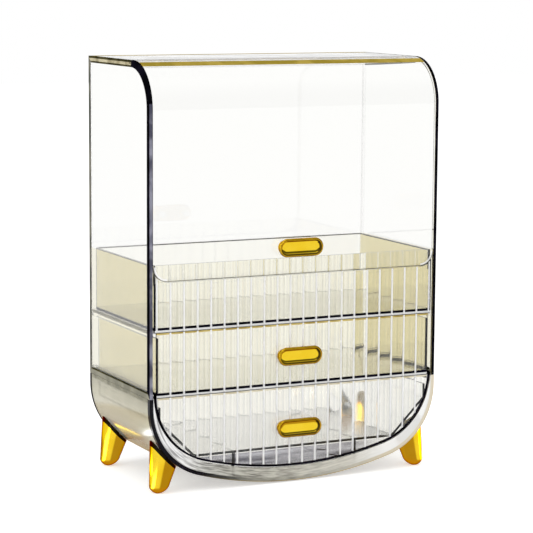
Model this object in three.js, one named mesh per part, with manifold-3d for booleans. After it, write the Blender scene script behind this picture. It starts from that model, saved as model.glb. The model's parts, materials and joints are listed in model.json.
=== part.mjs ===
// Dustproof makeup organizer: a clear housing with a U-shaped base on four feet, a flip lid, a tray and
// two drawers. Millimetres, +Z up, the front faces -Y. The origin is on the floor, under the middle of
// the whole object's box.
import * as THREE from 'three';
import { mergeVertices } from 'three/addons/utils/BufferGeometryUtils.js';
import Module from 'manifold-3d';

const wasm = await Module();
wasm.setup();

// Housing
const shellWidth = 280;
const shellDepth = 138;
const shellHeight = 370;
const floorClearance = 1;
const panelThickness = 2.8;
const topThickness = 4;
const seam = 0.3;
const frontTopRadius = 40;
const baseCornerRadius = 64;
const baseCrownDrop = 11.1;
const baseHeight = 83.4;
const frameThickness = 2.8;
const overrun = 5;

// Shelves inside the housing and the rails that carry them
const shelfThickness = 2.6;
const shelfSetback = 0.6;
const railWidth = 3.3;
const railHeight = 3;
const railEndGap = 4;
const guideLift = 2;
const runnerSpacing = 120;
const runnerThickness = 3;

// Fronts, from the top down
const traySplit = 142.4;
const rimHeight = 55.7;
const frontGap = 0.8;
const frontThickness = 2.8;
const frontBottomRise = 13.5;
const frontSideInset = 4.5;
const frontCornerRadius = 64;
const frontCrownDrop = 9.8;
const flutePitch = 12.7;
const fluteDepth = 0.9;
const flutePower = 3;

// Tray and drawer boxes
const boxWall = 2.2;
const boxFloor = 2.4;
const trayFloor = 2.8;
const boxBackGap = 1.7;
const boxCornerRadius = 5;
const floorLift = 1.4;
const traySideGap = 2;
const drawerSideGap = 0.7;
const drawerWallDrop = 10.7;
const baseDrawerSideGap = 5.8;
const baseDrawerFloorRise = 29.8;
const baseDrawerHeight = 46;
const baseDrawerChamfer = 31.8;

// Lid and its hinge
const lidThickness = 2.8;
const lidSideGap = 0.4;
const lidCornerRadius = 13;
const lidOverlap = 14.1;
const lidGap = 0.6;
const beadRadius = 2.4;
const beadSetback = 2;
const hingeGap = 0.5;
const pinRadius = 1;
const pinReach = 8;
const pinClearance = 0.3;
const ledgeThickness = 2.7;

// Handles and their screws
const handleLength = 43;
const handleWidth = 16.4;
const handleProjection = 8;
const handleWaist = 2.2;
const handleRim = 2.4;
const handleDish = 2;
const lidHandleRise = 24;
const postSpacing = 26;
const postRadius = 2.2;
const screwRadius = 1;
const screwLength = 6;
const screwHeadRadius = 3.2;
const screwHeadHeight = 1.8;

// Feet
const footInsetX = 12.5;
const footInsetY = 12;
const footPadRadius = 2.8;
const footTipRadius = 9;
const footDomeHeight = 7.5;
const footHeight = 64;
const footFlareShare = 0.178;
const footLeanShareX = 0.23;
const footLeanShareY = 0.05;
const footScrewLength = 10;

// Facets of the round forms
const cornerSteps = 14;
const roundSteps = 24;
const smallSteps = 12;

// Places worked out from the sizes above
const halfWidth = shellWidth / 2;
const frontY = -shellDepth / 2;
const backY = shellDepth / 2;
const topZ = floorClearance + shellHeight;
const baseTopZ = floorClearance + baseHeight;
const innerX = halfWidth - panelThickness;
const innerBackY = backY - panelThickness;
const railInnerX = innerX - railWidth;
const frontBackY = frontY + frontThickness;
const shelfFrontY = frontBackY + shelfSetback;
const boxBackY = innerBackY - boxBackGap;

const deckTopZ = baseTopZ + shelfThickness;
const baseFrontTopZ = baseTopZ + frontGap;
const drawerFrontBottomZ = baseFrontTopZ + frontGap;
const drawerFloorZ = deckTopZ + seam;
const shelfBottomZ = floorClearance + traySplit - shelfThickness;
const shelfTopZ = floorClearance + traySplit;
const trayFloorZ = shelfTopZ + seam;
const trayFrontBottomZ = trayFloorZ - floorLift;
const drawerFrontTopZ = trayFrontBottomZ - frontGap;
const rimZ = trayFloorZ + rimHeight;
const lidBottomZ = rimZ - lidOverlap;

const baseFrontBottomZ = floorClearance + frontBottomRise;
const baseDrawerFloorZ = floorClearance + baseDrawerFloorRise;
const baseDrawerHalf = innerX - baseDrawerSideGap;
const drawerHalf = railInnerX - drawerSideGap;
const trayHalf = innerX - traySideGap;
const lidHalf = innerX - lidSideGap;

const beadZ = topZ - beadRadius;
const beadY = frontY + frontTopRadius + beadSetback;
const arcY = frontY + frontTopRadius;
const arcZ = topZ - frontTopRadius;

// A closed geometry becomes a solid once its shared corners are merged.
function solid(geometry) {
  const bare = geometry.clone();
  bare.deleteAttribute('normal');
  bare.deleteAttribute('uv');
  const merged = mergeVertices(bare);
  return new wasm.Manifold(new wasm.Mesh({
    numProp: 3,
    vertProperties: merged.attributes.position.array,
    triVerts: new Uint32Array(merged.index.array),
  }));
}

function geometryOf(body) {
  const mesh = body.getMesh();
  const geometry = new THREE.BufferGeometry();
  geometry.setAttribute('position', new THREE.BufferAttribute(mesh.vertProperties.slice(), 3));
  geometry.setIndex(new THREE.BufferAttribute(mesh.triVerts.slice(), 1));
  geometry.computeVertexNormals();
  return geometry;
}

function join(bodies) {
  return bodies.reduce((whole, body) => whole.add(body));
}

function block([x0, x1], [y0, y1], [z0, z1]) {
  const geometry = new THREE.BoxGeometry(x1 - x0, y1 - y0, z1 - z0);
  geometry.translate((x0 + x1) / 2, (y0 + y1) / 2, (z0 + z1) / 2);
  return solid(geometry);
}

function extruded(shape, length, basis, start) {
  const geometry = new THREE.ExtrudeGeometry(shape, {
    depth: length,
    bevelEnabled: false,
    curveSegments: cornerSteps,
  });
  geometry.applyMatrix4(basis);
  geometry.translate(start.x, start.y, start.z);
  return solid(geometry);
}

const unitX = new THREE.Vector3(1, 0, 0);
const unitY = new THREE.Vector3(0, 1, 0);
const unitZ = new THREE.Vector3(0, 0, 1);

// A front-view outline (x, z) pushed back from y0 to y1
function alongY(shape, y0, y1) {
  const basis = new THREE.Matrix4().makeBasis(unitX, unitZ, unitY.clone().negate());
  return extruded(shape, y1 - y0, basis, new THREE.Vector3(0, y1, 0));
}

// A side-view outline (y, z) pushed sideways from x0 to x1
function alongX(shape, x0, x1) {
  const basis = new THREE.Matrix4().makeBasis(unitY, unitZ, unitX);
  return extruded(shape, x1 - x0, basis, new THREE.Vector3(x0, 0, 0));
}

// A plan outline (x, y) raised from z0 to z1
function alongZ(shape, z0, z1) {
  return extruded(shape, z1 - z0, new THREE.Matrix4(), new THREE.Vector3(0, 0, z0));
}

function rod(radius, length, steps, axis, start) {
  const geometry = new THREE.CylinderGeometry(radius, radius, length, steps);
  geometry.translate(0, length / 2, 0);
  geometry.applyQuaternion(new THREE.Quaternion().setFromUnitVectors(unitY, axis));
  geometry.translate(start.x, start.y, start.z);
  return solid(geometry);
}

// A U seen from the front: straight sides, round corners and a crowned bottom, whose middle lies lower
// than the corners by the drop. A drop kept with an inset gives a wall of even thickness.
function uShape(half, bottomZ, topEdgeZ, cornerRadius, crownDrop) {
  const cornerX = half - cornerRadius;
  const cornerZ = bottomZ + crownDrop + cornerRadius;
  const crownRadius = cornerRadius + (cornerX ** 2 + crownDrop ** 2) / (2 * crownDrop);
  const crownZ = bottomZ + crownRadius;
  const tilt = Math.atan2(cornerX, crownZ - cornerZ);
  const right = Math.PI / 2;
  const shape = new THREE.Shape();
  shape.moveTo(-half, topEdgeZ);
  shape.lineTo(-half, cornerZ);
  shape.absarc(-cornerX, cornerZ, cornerRadius, Math.PI, 3 * right - tilt, false);
  shape.absarc(0, crownZ, crownRadius, 3 * right - tilt, 3 * right + tilt, false);
  shape.absarc(cornerX, cornerZ, cornerRadius, 3 * right + tilt, 4 * right, false);
  shape.lineTo(half, topEdgeZ);
  return shape;
}

function baseOutline(inset, topEdgeZ) {
  const bottomZ = floorClearance + inset;
  return uShape(halfWidth - inset, bottomZ, topEdgeZ, baseCornerRadius - inset, baseCrownDrop);
}

// The outline of the bottom drawer's front; grow widens it for the gap round the front
function baseFrontOutline(grow, topEdgeZ) {
  const half = halfWidth - frontSideInset + grow;
  return uShape(half, baseFrontBottomZ - grow, topEdgeZ, frontCornerRadius + grow, frontCrownDrop);
}

const baseCornerX = halfWidth - baseCornerRadius;
const baseCornerZ = floorClearance + baseCrownDrop + baseCornerRadius;

// A rectangle whose corners are rounded where a radius is given: bottom pair, then top pair
function roundedRect(half, y0, y1, bottomRadius, topRadius) {
  const quarter = Math.PI / 2;
  const shape = new THREE.Shape();
  if (bottomRadius > 0) {
    shape.absarc(-half + bottomRadius, y0 + bottomRadius, bottomRadius, 2 * quarter, 3 * quarter, false);
    shape.absarc(half - bottomRadius, y0 + bottomRadius, bottomRadius, 3 * quarter, 4 * quarter, false);
  } else {
    shape.moveTo(-half, y0);
    shape.lineTo(half, y0);
  }
  if (topRadius > 0) {
    shape.absarc(half - topRadius, y1 - topRadius, topRadius, 0, quarter, false);
    shape.absarc(-half + topRadius, y1 - topRadius, topRadius, quarter, 2 * quarter, false);
  } else {
    shape.lineTo(half, y1);
    shape.lineTo(-half, y1);
  }
  return shape;
}

// Plan outline of a fluted plate: each flute has a broad flat crown that falls to a sharp valley
function flutedPlan(half, faceY, rearY) {
  const crownShares = [-1, -0.84, -0.58, -0.22, 0.22, 0.58, 0.84];
  const shape = new THREE.Shape();
  const depthAt = (x) => {
    const share = x / flutePitch - Math.round(x / flutePitch);
    return fluteDepth * Math.abs(2 * share) ** flutePower;
  };
  shape.moveTo(-half, rearY);
  shape.lineTo(-half, faceY + depthAt(-half));
  const reach = Math.ceil(half / flutePitch);
  for (let flute = -reach; flute <= reach; flute += 1) {
    for (const share of crownShares) {
      const x = (flute + share / 2) * flutePitch;
      if (Math.abs(x) < half - fluteDepth / 2) {
        shape.lineTo(x, faceY + depthAt(x));
      }
    }
  }
  shape.lineTo(half, faceY + depthAt(half));
  shape.lineTo(half, rearY);
  return shape;
}

// Lid seen from the front, with its two round lower corners; grow widens it for the gap round the lid
function lidFace(grow) {
  return roundedRect(lidHalf + grow, lidBottomZ - grow, topZ + grow, lidCornerRadius + grow, 0);
}

function sideProfile(bottomZ) {
  const shape = new THREE.Shape();
  shape.moveTo(frontY, bottomZ);
  shape.lineTo(backY, bottomZ);
  shape.lineTo(backY, topZ);
  shape.lineTo(arcY, topZ);
  shape.absarc(arcY, arcZ, frontTopRadius, Math.PI / 2, Math.PI, false);
  return shape;
}

// The rails on both inner sides, sunk a little into the wall that carries them
function railReach(side) {
  return side < 0 ? [-innerX - seam, -railInnerX] : [railInnerX, innerX + seam];
}

function makeBase() {
  const frameBackY = frontY + frameThickness;
  const shell = alongY(baseOutline(0, topZ), frontY, backY)
    .subtract(alongY(baseOutline(panelThickness, topZ), frameBackY, innerBackY))
    .subtract(alongY(baseFrontOutline(frontGap, topZ), frontY - overrun, frameBackY + seam))
    .intersect(block([-halfWidth, halfWidth], [frontY, backY], [floorClearance, baseTopZ]));
  const railSpan = [shelfFrontY + railEndGap, innerBackY + seam];
  const railZ = [baseTopZ - seam - railHeight, baseTopZ - seam];
  const rails = [-1, 1].map((side) => block(railReach(side), railSpan, railZ));
  const inside = alongY(baseOutline(panelThickness / 2, topZ), frontY, innerBackY + seam);
  const runners = [-1, 1].map((side) => block(
    [side * runnerSpacing / 2 - runnerThickness / 2, side * runnerSpacing / 2 + runnerThickness / 2],
    [shelfFrontY, innerBackY + seam],
    [floorClearance, baseDrawerFloorZ - seam],
  ).intersect(inside));
  const holes = footScrewSeats().map(({ hole }) => hole);
  return join([shell, ...rails, ...runners]).subtract(join(holes));
}

// A foot screw stands square to the round corner of the base, on its inner face, and enters the foot.
function footScrewSeats() {
  const footLeanX = footLeanShareX * (baseCornerZ - baseCornerRadius * 3 / 4);
  const reach = halfWidth - footInsetX - footLeanX - baseCornerX;
  const angle = Math.asin(reach / baseCornerRadius);
  const footLeanY = footLeanShareY * (baseCornerZ - baseCornerRadius * Math.cos(angle));
  const seats = [];
  for (const sideY of [-1, 1]) {
    for (const sideX of [-1, 1]) {
      const outward = new THREE.Vector3(sideX * Math.sin(angle), 0, -Math.cos(angle));
      const y = sideY * (backY - footInsetY - footLeanY);
      const corner = new THREE.Vector3(sideX * baseCornerX, y, baseCornerZ);
      const innerFace = corner.clone().addScaledVector(outward, baseCornerRadius - panelThickness);
      const holeStart = innerFace.clone().addScaledVector(outward, -panelThickness);
      const holeLength = footScrewLength + panelThickness + seam;
      seats.push({
        sideX,
        sideY,
        outward,
        innerFace,
        hole: rod(screwRadius + pinClearance, holeLength, smallSteps, outward, holeStart),
      });
    }
  }
  return seats;
}

function makeSidePanel(side) {
  const [x0, x1] = side < 0 ? [-halfWidth, -innerX] : [innerX, halfWidth];
  const rails = [
    [shelfBottomZ - seam - railHeight, shelfBottomZ - seam],
    [deckTopZ + guideLift, deckTopZ + guideLift + railHeight],
  ].map((zSpan) => block(railReach(side), [shelfFrontY + railEndGap, innerBackY - seam], zSpan));
  const pinHole = rod(
    pinRadius + pinClearance,
    panelThickness + 2 * overrun,
    smallSteps,
    unitX,
    new THREE.Vector3(x0 - overrun, beadY, beadZ),
  );
  return join([alongX(sideProfile(baseTopZ + seam), x0, x1), ...rails]).subtract(pinHole);
}

function makeTopPanel() {
  const noseRadius = topThickness / 2;
  const noseY = beadY + beadRadius + hingeGap + noseRadius;
  const shape = new THREE.Shape();
  shape.moveTo(noseY, topZ - topThickness);
  shape.lineTo(backY, topZ - topThickness);
  shape.lineTo(backY, topZ);
  shape.lineTo(noseY, topZ);
  shape.absarc(noseY, topZ - noseRadius, noseRadius, Math.PI / 2, 3 * Math.PI / 2, false);
  return alongX(shape, -innerX + seam, innerX - seam);
}

function makeBackPanel() {
  return block(
    [-innerX + seam, innerX - seam],
    [innerBackY, backY],
    [baseTopZ + seam, topZ - topThickness - seam],
  );
}

function makeShelf(bottomZ) {
  return block(
    [-innerX + seam, innerX - seam],
    [shelfFrontY, innerBackY - seam],
    [bottomZ, bottomZ + shelfThickness],
  );
}

function handleHoles(centreZ) {
  return join([-1, 1].map((side) => rod(
    postRadius + pinClearance,
    frontThickness + 2 * overrun,
    smallSteps,
    unitY,
    new THREE.Vector3(side * postSpacing / 2, frontY - overrun, centreZ),
  )));
}

// An open box with round back corners; its front wall is the fluted front that is joined to it
function boxShell(half, floorZ, floorThickness, topEdgeZ, frontFaceY) {
  const outer = alongZ(roundedRect(half, frontFaceY, boxBackY, 0, boxCornerRadius), floorZ, topEdgeZ);
  const inner = alongZ(
    roundedRect(half - boxWall, frontBackY, boxBackY - boxWall, 0, boxCornerRadius - boxWall),
    floorZ + floorThickness,
    topEdgeZ + overrun,
  );
  return { outer, inner };
}

// The tray's front steps back above a ledge, so that the lid laps over a fluted lip.
function makeTray() {
  const lipFrontY = frontBackY + lidGap;
  const lipBackY = lipFrontY + boxWall;
  const ledgeTopZ = lidBottomZ - frontGap;
  const ledgeZ = ledgeTopZ - ledgeThickness;
  const { outer, inner } = boxShell(trayHalf, trayFloorZ, trayFloor, rimZ, frontBackY - fluteDepth);
  const acrossX = [-trayHalf - overrun, trayHalf + overrun];
  const lipValleyY = lipFrontY + fluteDepth;
  const aheadOfLip = block(acrossX, [frontY - overrun, lipValleyY], [ledgeTopZ, rimZ + overrun]);
  const aboveLedge = block(acrossX, [frontY - overrun, lipBackY], [ledgeZ, rimZ + overrun]);
  const lidRoom = alongY(lidFace(frontGap), frontY - overrun, lipFrontY);
  const face = alongZ(flutedPlan(trayHalf, frontY, frontBackY), trayFrontBottomZ, rimZ).subtract(lidRoom);
  const lip = alongZ(flutedPlan(trayHalf, lipFrontY, lipBackY), ledgeZ, rimZ);
  const ledge = block([-trayHalf, trayHalf], [frontBackY - fluteDepth, lipBackY], [ledgeZ, ledgeTopZ]);
  return join([outer.subtract(aheadOfLip), face, lip, ledge]).subtract(inner.subtract(aboveLedge));
}

const drawerHandleZ = (drawerFrontBottomZ + drawerFrontTopZ) / 2;
const baseHandleZ = (baseFrontBottomZ + baseFrontTopZ) / 2;
const lidHandleZ = lidBottomZ + lidHandleRise;

function makeMiddleDrawer() {
  const plan = flutedPlan(drawerHalf, frontY, frontBackY);
  const slab = alongZ(plan, drawerFrontBottomZ, drawerFrontTopZ);
  const { outer, inner } = boxShell(
    drawerHalf,
    drawerFloorZ,
    boxFloor,
    drawerFrontTopZ - drawerWallDrop,
    frontBackY - fluteDepth,
  );
  return slab.add(outer).subtract(inner).subtract(handleHoles(drawerHandleZ));
}

// Section of the bottom drawer's box, flat in the floor and cut off at its two lower corners
function baseDrawerSection(inset, topEdgeZ) {
  const half = baseDrawerHalf - inset;
  const floorZ = baseDrawerFloorZ + inset;
  const chamfer = baseDrawerChamfer + (boxWall - inset) * (2 - Math.SQRT2);
  const shape = new THREE.Shape();
  shape.moveTo(-half, topEdgeZ);
  shape.lineTo(-half, floorZ + chamfer);
  shape.lineTo(-half + chamfer, floorZ);
  shape.lineTo(half - chamfer, floorZ);
  shape.lineTo(half, floorZ + chamfer);
  shape.lineTo(half, topEdgeZ);
  return shape;
}

function makeBaseDrawer() {
  const plan = flutedPlan(halfWidth - frontSideInset, frontY, frontBackY);
  const slab = alongZ(plan, floorClearance, baseFrontTopZ)
    .intersect(alongY(baseFrontOutline(0, topZ), frontY - overrun, backY));
  const topEdgeZ = baseDrawerFloorZ + baseDrawerHeight;
  const outer = alongY(baseDrawerSection(0, topEdgeZ), frontBackY - fluteDepth, boxBackY);
  const inner = alongY(baseDrawerSection(boxWall, topEdgeZ + overrun), frontBackY, boxBackY - boxWall);
  return slab.add(outer).subtract(inner).subtract(handleHoles(baseHandleZ));
}

function makeLid() {
  const inner = frontTopRadius - lidThickness;
  const shape = new THREE.Shape();
  shape.moveTo(frontY, lidBottomZ);
  shape.lineTo(frontY + lidThickness, lidBottomZ);
  shape.absarc(arcY, arcZ, inner, Math.PI, Math.PI / 2, true);
  shape.lineTo(beadY, topZ - lidThickness);
  shape.lineTo(beadY, topZ);
  shape.lineTo(arcY, topZ);
  shape.absarc(arcY, arcZ, frontTopRadius, Math.PI / 2, Math.PI, false);
  const sheet = alongX(shape, -lidHalf, lidHalf);
  const outline = alongY(lidFace(0), frontY - overrun, backY);
  const beadStart = new THREE.Vector3(-lidHalf, beadY, beadZ);
  const bead = rod(beadRadius, 2 * lidHalf, roundSteps, unitX, beadStart);
  const bores = [-1, 1].map((side) => rod(
    pinRadius + pinClearance,
    pinReach + overrun,
    smallSteps,
    unitX.clone().multiplyScalar(side),
    new THREE.Vector3(side * (lidHalf - pinReach), beadY, beadZ),
  ));
  return sheet.intersect(outline).add(bead).subtract(join(bores)).subtract(handleHoles(lidHandleZ));
}

function makeHingePin(side) {
  const length = halfWidth - lidHalf + pinReach - seam;
  const start = new THREE.Vector3(side * (lidHalf - pinReach + seam), beadY, beadZ);
  return rod(pinRadius, length, smallSteps, unitX.clone().multiplyScalar(side), start);
}

// A round knob with a dished face, drawn apart along X into a pill, with two posts through the panel
function makeHandle(centreZ) {
  const radius = handleWidth / 2;
  const profile = [
    [0, 0],
    [radius - handleWaist, 0],
    [radius - handleWaist, handleProjection / 4],
    [radius - handleRim / 4, handleProjection * 5 / 8],
    [radius, handleProjection * 3 / 4],
    [radius - handleRim / 5, handleProjection * 15 / 16],
    [radius - handleRim / 2, handleProjection],
    [radius - handleRim * 4 / 5, handleProjection * 15 / 16],
    [radius - handleRim, handleProjection - handleDish],
    [0, handleProjection - handleDish],
  ].map(([r, out]) => new THREE.Vector2(r, out));
  const knob = new THREE.LatheGeometry(profile, roundSteps, Math.PI / roundSteps);
  const stretch = (handleLength - handleWidth) / 2;
  const place = knob.attributes.position;
  for (let i = 0; i < place.count; i += 1) {
    const x = place.getX(i);
    const offAxis = Math.abs(x) > pinClearance;
    place.setX(i, offAxis ? x + Math.sign(x) * stretch : 0);
  }
  knob.rotateX(Math.PI);
  knob.translate(0, frontY - seam, centreZ);
  const posts = [-1, 1].map((side) => rod(
    postRadius,
    frontThickness + handleProjection / 4,
    smallSteps,
    unitY,
    new THREE.Vector3(side * postSpacing / 2, frontY - seam - handleProjection / 4, centreZ),
  ));
  const pilots = [-1, 1].map((side) => rod(
    screwRadius + pinClearance,
    screwLength + pinClearance + overrun,
    smallSteps,
    unitY.clone().negate(),
    new THREE.Vector3(side * postSpacing / 2, frontBackY + overrun, centreZ),
  ));
  return join([solid(knob), ...posts]).subtract(join(pilots));
}

// A pan-head screw whose head stands on its seat and whose shank runs along the given direction
function makeScrew(seat, direction, length) {
  const head = rod(screwHeadRadius, screwHeadHeight, smallSteps, direction.clone().negate(),
    seat.clone().addScaledVector(direction, -seam));
  const shank = rod(screwRadius, length + screwHeadHeight / 2, smallSteps, direction,
    seat.clone().addScaledVector(direction, -seam - screwHeadHeight / 2));
  return head.add(shank);
}

// A round foot with a dome for a toe, which flares upward, leans outward and is cut to the round corner
// of the base. The toe's arc starts at a slant, where it meets the flat pad.
function makeFoot({ sideX, sideY, hole }) {
  const domeSteps = 6;
  const profile = [new THREE.Vector2(0, 0), new THREE.Vector2(footPadRadius, 0)];
  const padAngle = Math.PI / 6;
  const padSine = Math.sin(padAngle);
  const padCosine = Math.cos(padAngle);
  for (let step = 1; step <= domeSteps; step += 1) {
    const angle = padAngle + step / domeSteps * (Math.PI / 2 - padAngle);
    const outShare = (Math.sin(angle) - padSine) / (1 - padSine);
    profile.push(new THREE.Vector2(
      footPadRadius + (footTipRadius - footPadRadius) * outShare,
      footDomeHeight * (1 - Math.cos(angle) / padCosine),
    ));
  }
  const flare = footFlareShare * (footHeight - footDomeHeight);
  profile.push(new THREE.Vector2(footTipRadius + flare, footHeight), new THREE.Vector2(0, footHeight));
  const cone = new THREE.LatheGeometry(profile, roundSteps);
  cone.rotateX(Math.PI / 2);
  const leanX = -sideX * footLeanShareX;
  const leanY = -sideY * footLeanShareY;
  cone.applyMatrix4(new THREE.Matrix4().makeShear(0, 0, 0, 0, leanX, leanY));
  cone.translate(sideX * (halfWidth - footInsetX), sideY * (backY - footInsetY), 0);
  const room = alongY(baseOutline(-seam, topZ), frontY - overrun, backY + overrun);
  return solid(cone).subtract(room).subtract(hole);
}

const clear = new THREE.MeshStandardMaterial({
  color: 0xf4eedf,
  roughness: 0.06,
  metalness: 0,
  transparent: true,
  opacity: 0.4,
});
const gold = new THREE.MeshStandardMaterial({ color: 0xd9a514, roughness: 0.18, metalness: 1 });
const steel = new THREE.MeshStandardMaterial({ color: 0xb9bcc0, roughness: 0.3, metalness: 1 });

const organizer = new THREE.Group();
organizer.position.y = (seam + handleProjection) / 2;

function place(name, body, material) {
  const mesh = new THREE.Mesh(geometryOf(body), material);
  mesh.name = name;
  organizer.add(mesh);
}

place('base_shell', makeBase(), clear);
place('left_side_panel', makeSidePanel(-1), clear);
place('right_side_panel', makeSidePanel(1), clear);
place('back_panel', makeBackPanel(), clear);
place('top_panel', makeTopPanel(), clear);
place('drawer_deck', makeShelf(baseTopZ), clear);
place('tray_shelf', makeShelf(shelfBottomZ), clear);
place('upper_tray', makeTray(), clear);
place('middle_drawer', makeMiddleDrawer(), clear);
place('bottom_drawer', makeBaseDrawer(), clear);
place('flip_lid', makeLid(), clear);
place('left_hinge_pin', makeHingePin(-1), steel);
place('right_hinge_pin', makeHingePin(1), steel);

const handles = { lid: lidHandleZ, middle_drawer: drawerHandleZ, bottom_drawer: baseHandleZ };
for (const [owner, centreZ] of Object.entries(handles)) {
  place(`${owner}_handle`, makeHandle(centreZ), gold);
  for (const [name, side] of [['left', -1], ['right', 1]]) {
    const seat = new THREE.Vector3(side * postSpacing / 2, frontBackY, centreZ);
    place(`${owner}_handle_screw_${name}`, makeScrew(seat, unitY.clone().negate(), screwLength), steel);
  }
}

for (const seat of footScrewSeats()) {
  const where = `${seat.sideY < 0 ? 'front' : 'rear'}_${seat.sideX < 0 ? 'left' : 'right'}`;
  place(`${where}_foot`, makeFoot(seat), gold);
  place(`${where}_foot_screw`, makeScrew(seat.innerFace, seat.outward, footScrewLength), steel);
}

export default organizer;
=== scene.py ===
# %% [markdown]
# # A clear makeup organizer in Blender
#
# This lesson dresses a clear plastic box with a flip lid, an open tray, two fluted drawers and gold
# feet. The measured parts come in first as a fixed frame. Each visible piece is then modelled in its
# place with bmesh operators and given a material. The light and the camera come last.

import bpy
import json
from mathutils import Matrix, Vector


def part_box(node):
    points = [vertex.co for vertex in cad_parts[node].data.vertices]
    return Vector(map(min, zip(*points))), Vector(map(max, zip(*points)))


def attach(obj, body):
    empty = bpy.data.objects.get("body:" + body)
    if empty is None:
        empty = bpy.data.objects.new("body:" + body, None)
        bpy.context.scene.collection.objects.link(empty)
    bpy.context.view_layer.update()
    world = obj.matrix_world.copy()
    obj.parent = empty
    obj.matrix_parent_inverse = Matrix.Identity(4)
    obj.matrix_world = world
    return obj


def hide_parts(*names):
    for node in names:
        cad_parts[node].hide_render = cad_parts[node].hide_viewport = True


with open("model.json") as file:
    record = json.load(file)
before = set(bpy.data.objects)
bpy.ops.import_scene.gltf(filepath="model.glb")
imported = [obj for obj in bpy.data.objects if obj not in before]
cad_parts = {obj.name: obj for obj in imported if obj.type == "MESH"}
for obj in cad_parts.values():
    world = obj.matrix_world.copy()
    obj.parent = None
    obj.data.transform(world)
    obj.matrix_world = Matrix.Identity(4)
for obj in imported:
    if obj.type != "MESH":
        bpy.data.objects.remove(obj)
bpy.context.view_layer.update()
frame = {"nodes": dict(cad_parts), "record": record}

# %% Modules
import json
import math

import bmesh
import bpy
from mathutils import Matrix, Vector

scene = bpy.context.scene
nodes = frame["nodes"]

# %% [markdown]
# ## The sizes that everything shares
#
# The planes of the housing are read from the frame, so that no piece is placed by eye. The few
# lengths that a box can't tell, such as a wall or a corner radius, are the ones the maker would put
# on the drawing. A face looks squarely along an axis when over 0.9 of its normal does, and hardly
# when less than 0.1 does. What lies within a skin's depth of a surface counts as on it.

# %% Planes and walls
base_low, base_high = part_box("base_shell")
pin_low, pin_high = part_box("left_hinge_pin")
half, front, back = base_high.x, base_low.y, base_high.y
floor_gap, seam, top = base_low.z, base_high.z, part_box("left_side_panel")[1].z
hinge_y = (pin_low.y + pin_high.y) / 2
wall, box_wall = 0.0028, 0.0022
joint_gap, front_gap, box_back_gap = 0.0003, 0.0008, 0.0017
inner = half - wall
overlap, overrun = 0.0009, 0.005
box_front, box_back = front + wall - overlap, back - wall - box_back_gap
flute_pitch = 0.0127
corner_radius, bottom_drop, drawer_drop = 0.064, 0.0111, 0.0098
foot_inset_x, foot_inset_y = 0.0125, 0.012
near, merge_distance, skin = 0.000001, 0.000002, 0.0001
squarely, hardly, flat = 0.9, 0.1, 0.99
print("half width", round(half, 4), "front", round(front, 5), "back", round(back, 5), "top", round(top, 4))

# %% [markdown]
# ## Small helpers
#
# Every piece ends the same way: its doubles are merged, its normals are turned outwards, it gets
# its materials and rides on a body of the frame. One helper does that. It also counts edges that
# don't join exactly two faces, because clear plastic only refracts well when its mesh is closed.


# %% Finish a piece
def finish(name, bm, body, slot, materials, *replaced, crease=28, even=False):
    bmesh.ops.remove_doubles(bm, verts=bm.verts, dist=merge_distance)
    bmesh.ops.recalc_face_normals(bm, faces=bm.faces)
    open_edges = sum(not edge.is_manifold for edge in bm.edges)
    mesh = bpy.data.meshes.new(name)
    for material in materials:
        mesh.materials.append(material)
    bm.to_mesh(mesh)
    bm.free()
    mesh.shade_smooth()
    mesh.set_sharp_from_angle(angle=math.radians(crease))
    piece = bpy.data.objects.new(name, mesh)
    scene.collection.objects.link(piece)
    if even:
        weighted = piece.modifiers.new("even normals", "WEIGHTED_NORMAL")
        weighted.keep_sharp = True
    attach(piece, body)
    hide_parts(*replaced)
    print(f"{name}: {len(mesh.polygons)} faces, {open_edges} open edges")


# %% [markdown]
# Three operators come back all the time. A block between two corners is a cube that is scaled and
# moved. Extruding some faces and moving what was made gives a sheet its thickness. And bmesh's bevel
# has other defaults than the editor's, so one helper states them for every rounded corner.


# %% Block, extrude and round off
def block(low, high):
    bm = bmesh.new()
    low, high = Vector(low), Vector(high)
    bmesh.ops.create_cube(bm, size=1.0)
    bmesh.ops.scale(bm, verts=bm.verts, vec=high - low)
    bmesh.ops.translate(bm, verts=bm.verts, vec=(low + high) / 2)
    return bm


def extrude(bm, faces, push):
    made = bmesh.ops.extrude_face_region(bm, geom=faces)
    verts = [item for item in made["geom"] if isinstance(item, bmesh.types.BMVert)]
    bmesh.ops.translate(bm, verts=verts, vec=push)
    return verts


def round_off(bm, geom, affect, offset, segments):
    bmesh.ops.bevel(bm, geom=geom, affect=affect, offset=offset, offset_type="OFFSET", segments=segments,
                    profile=0.5, material=-1)


# %% [markdown]
# Four more helpers pick faces or edges by where they are and which way they look: one pushes a patch
# out, one cuts the whole mesh by planes so that a patch has edges, one gives a patch another of the
# piece's materials, and one finds the edges from front to rear at a given height.


# %% Patches of faces
def push_out(bm, wanted, push):
    bm.normal_update()
    faces = [face for face in bm.faces if wanted(face.calc_center_median(), face.normal)]
    verts = extrude(bm, faces, push)
    bmesh.ops.delete(bm, geom=faces, context="FACES")
    return verts


def slice_at(bm, axis, places):
    for place in places:
        point, normal = Vector(), Vector()
        point[axis] = place
        normal[axis] = 1
        geom = bm.verts[:] + bm.edges[:] + bm.faces[:]
        bmesh.ops.bisect_plane(bm, geom=geom, dist=near, plane_co=point, plane_no=normal)


def paint(bm, index, wanted):
    bm.normal_update()
    for face in bm.faces:
        if wanted(face.calc_center_median(), face.normal):
            face.material_index = index


def rearward_edges(bm, z):
    return [edge for edge in bm.edges if all(abs(vert.co.z - z) < near for vert in edge.verts)
            and abs(edge.verts[0].co.x - edge.verts[1].co.x) < near]


# %% [markdown]
# Some forms are easiest as one solid plus or minus another, such as a drawer's tub on its front. A
# Boolean modifier with the exact solver does that, and the result is read back into a bmesh.


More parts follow.
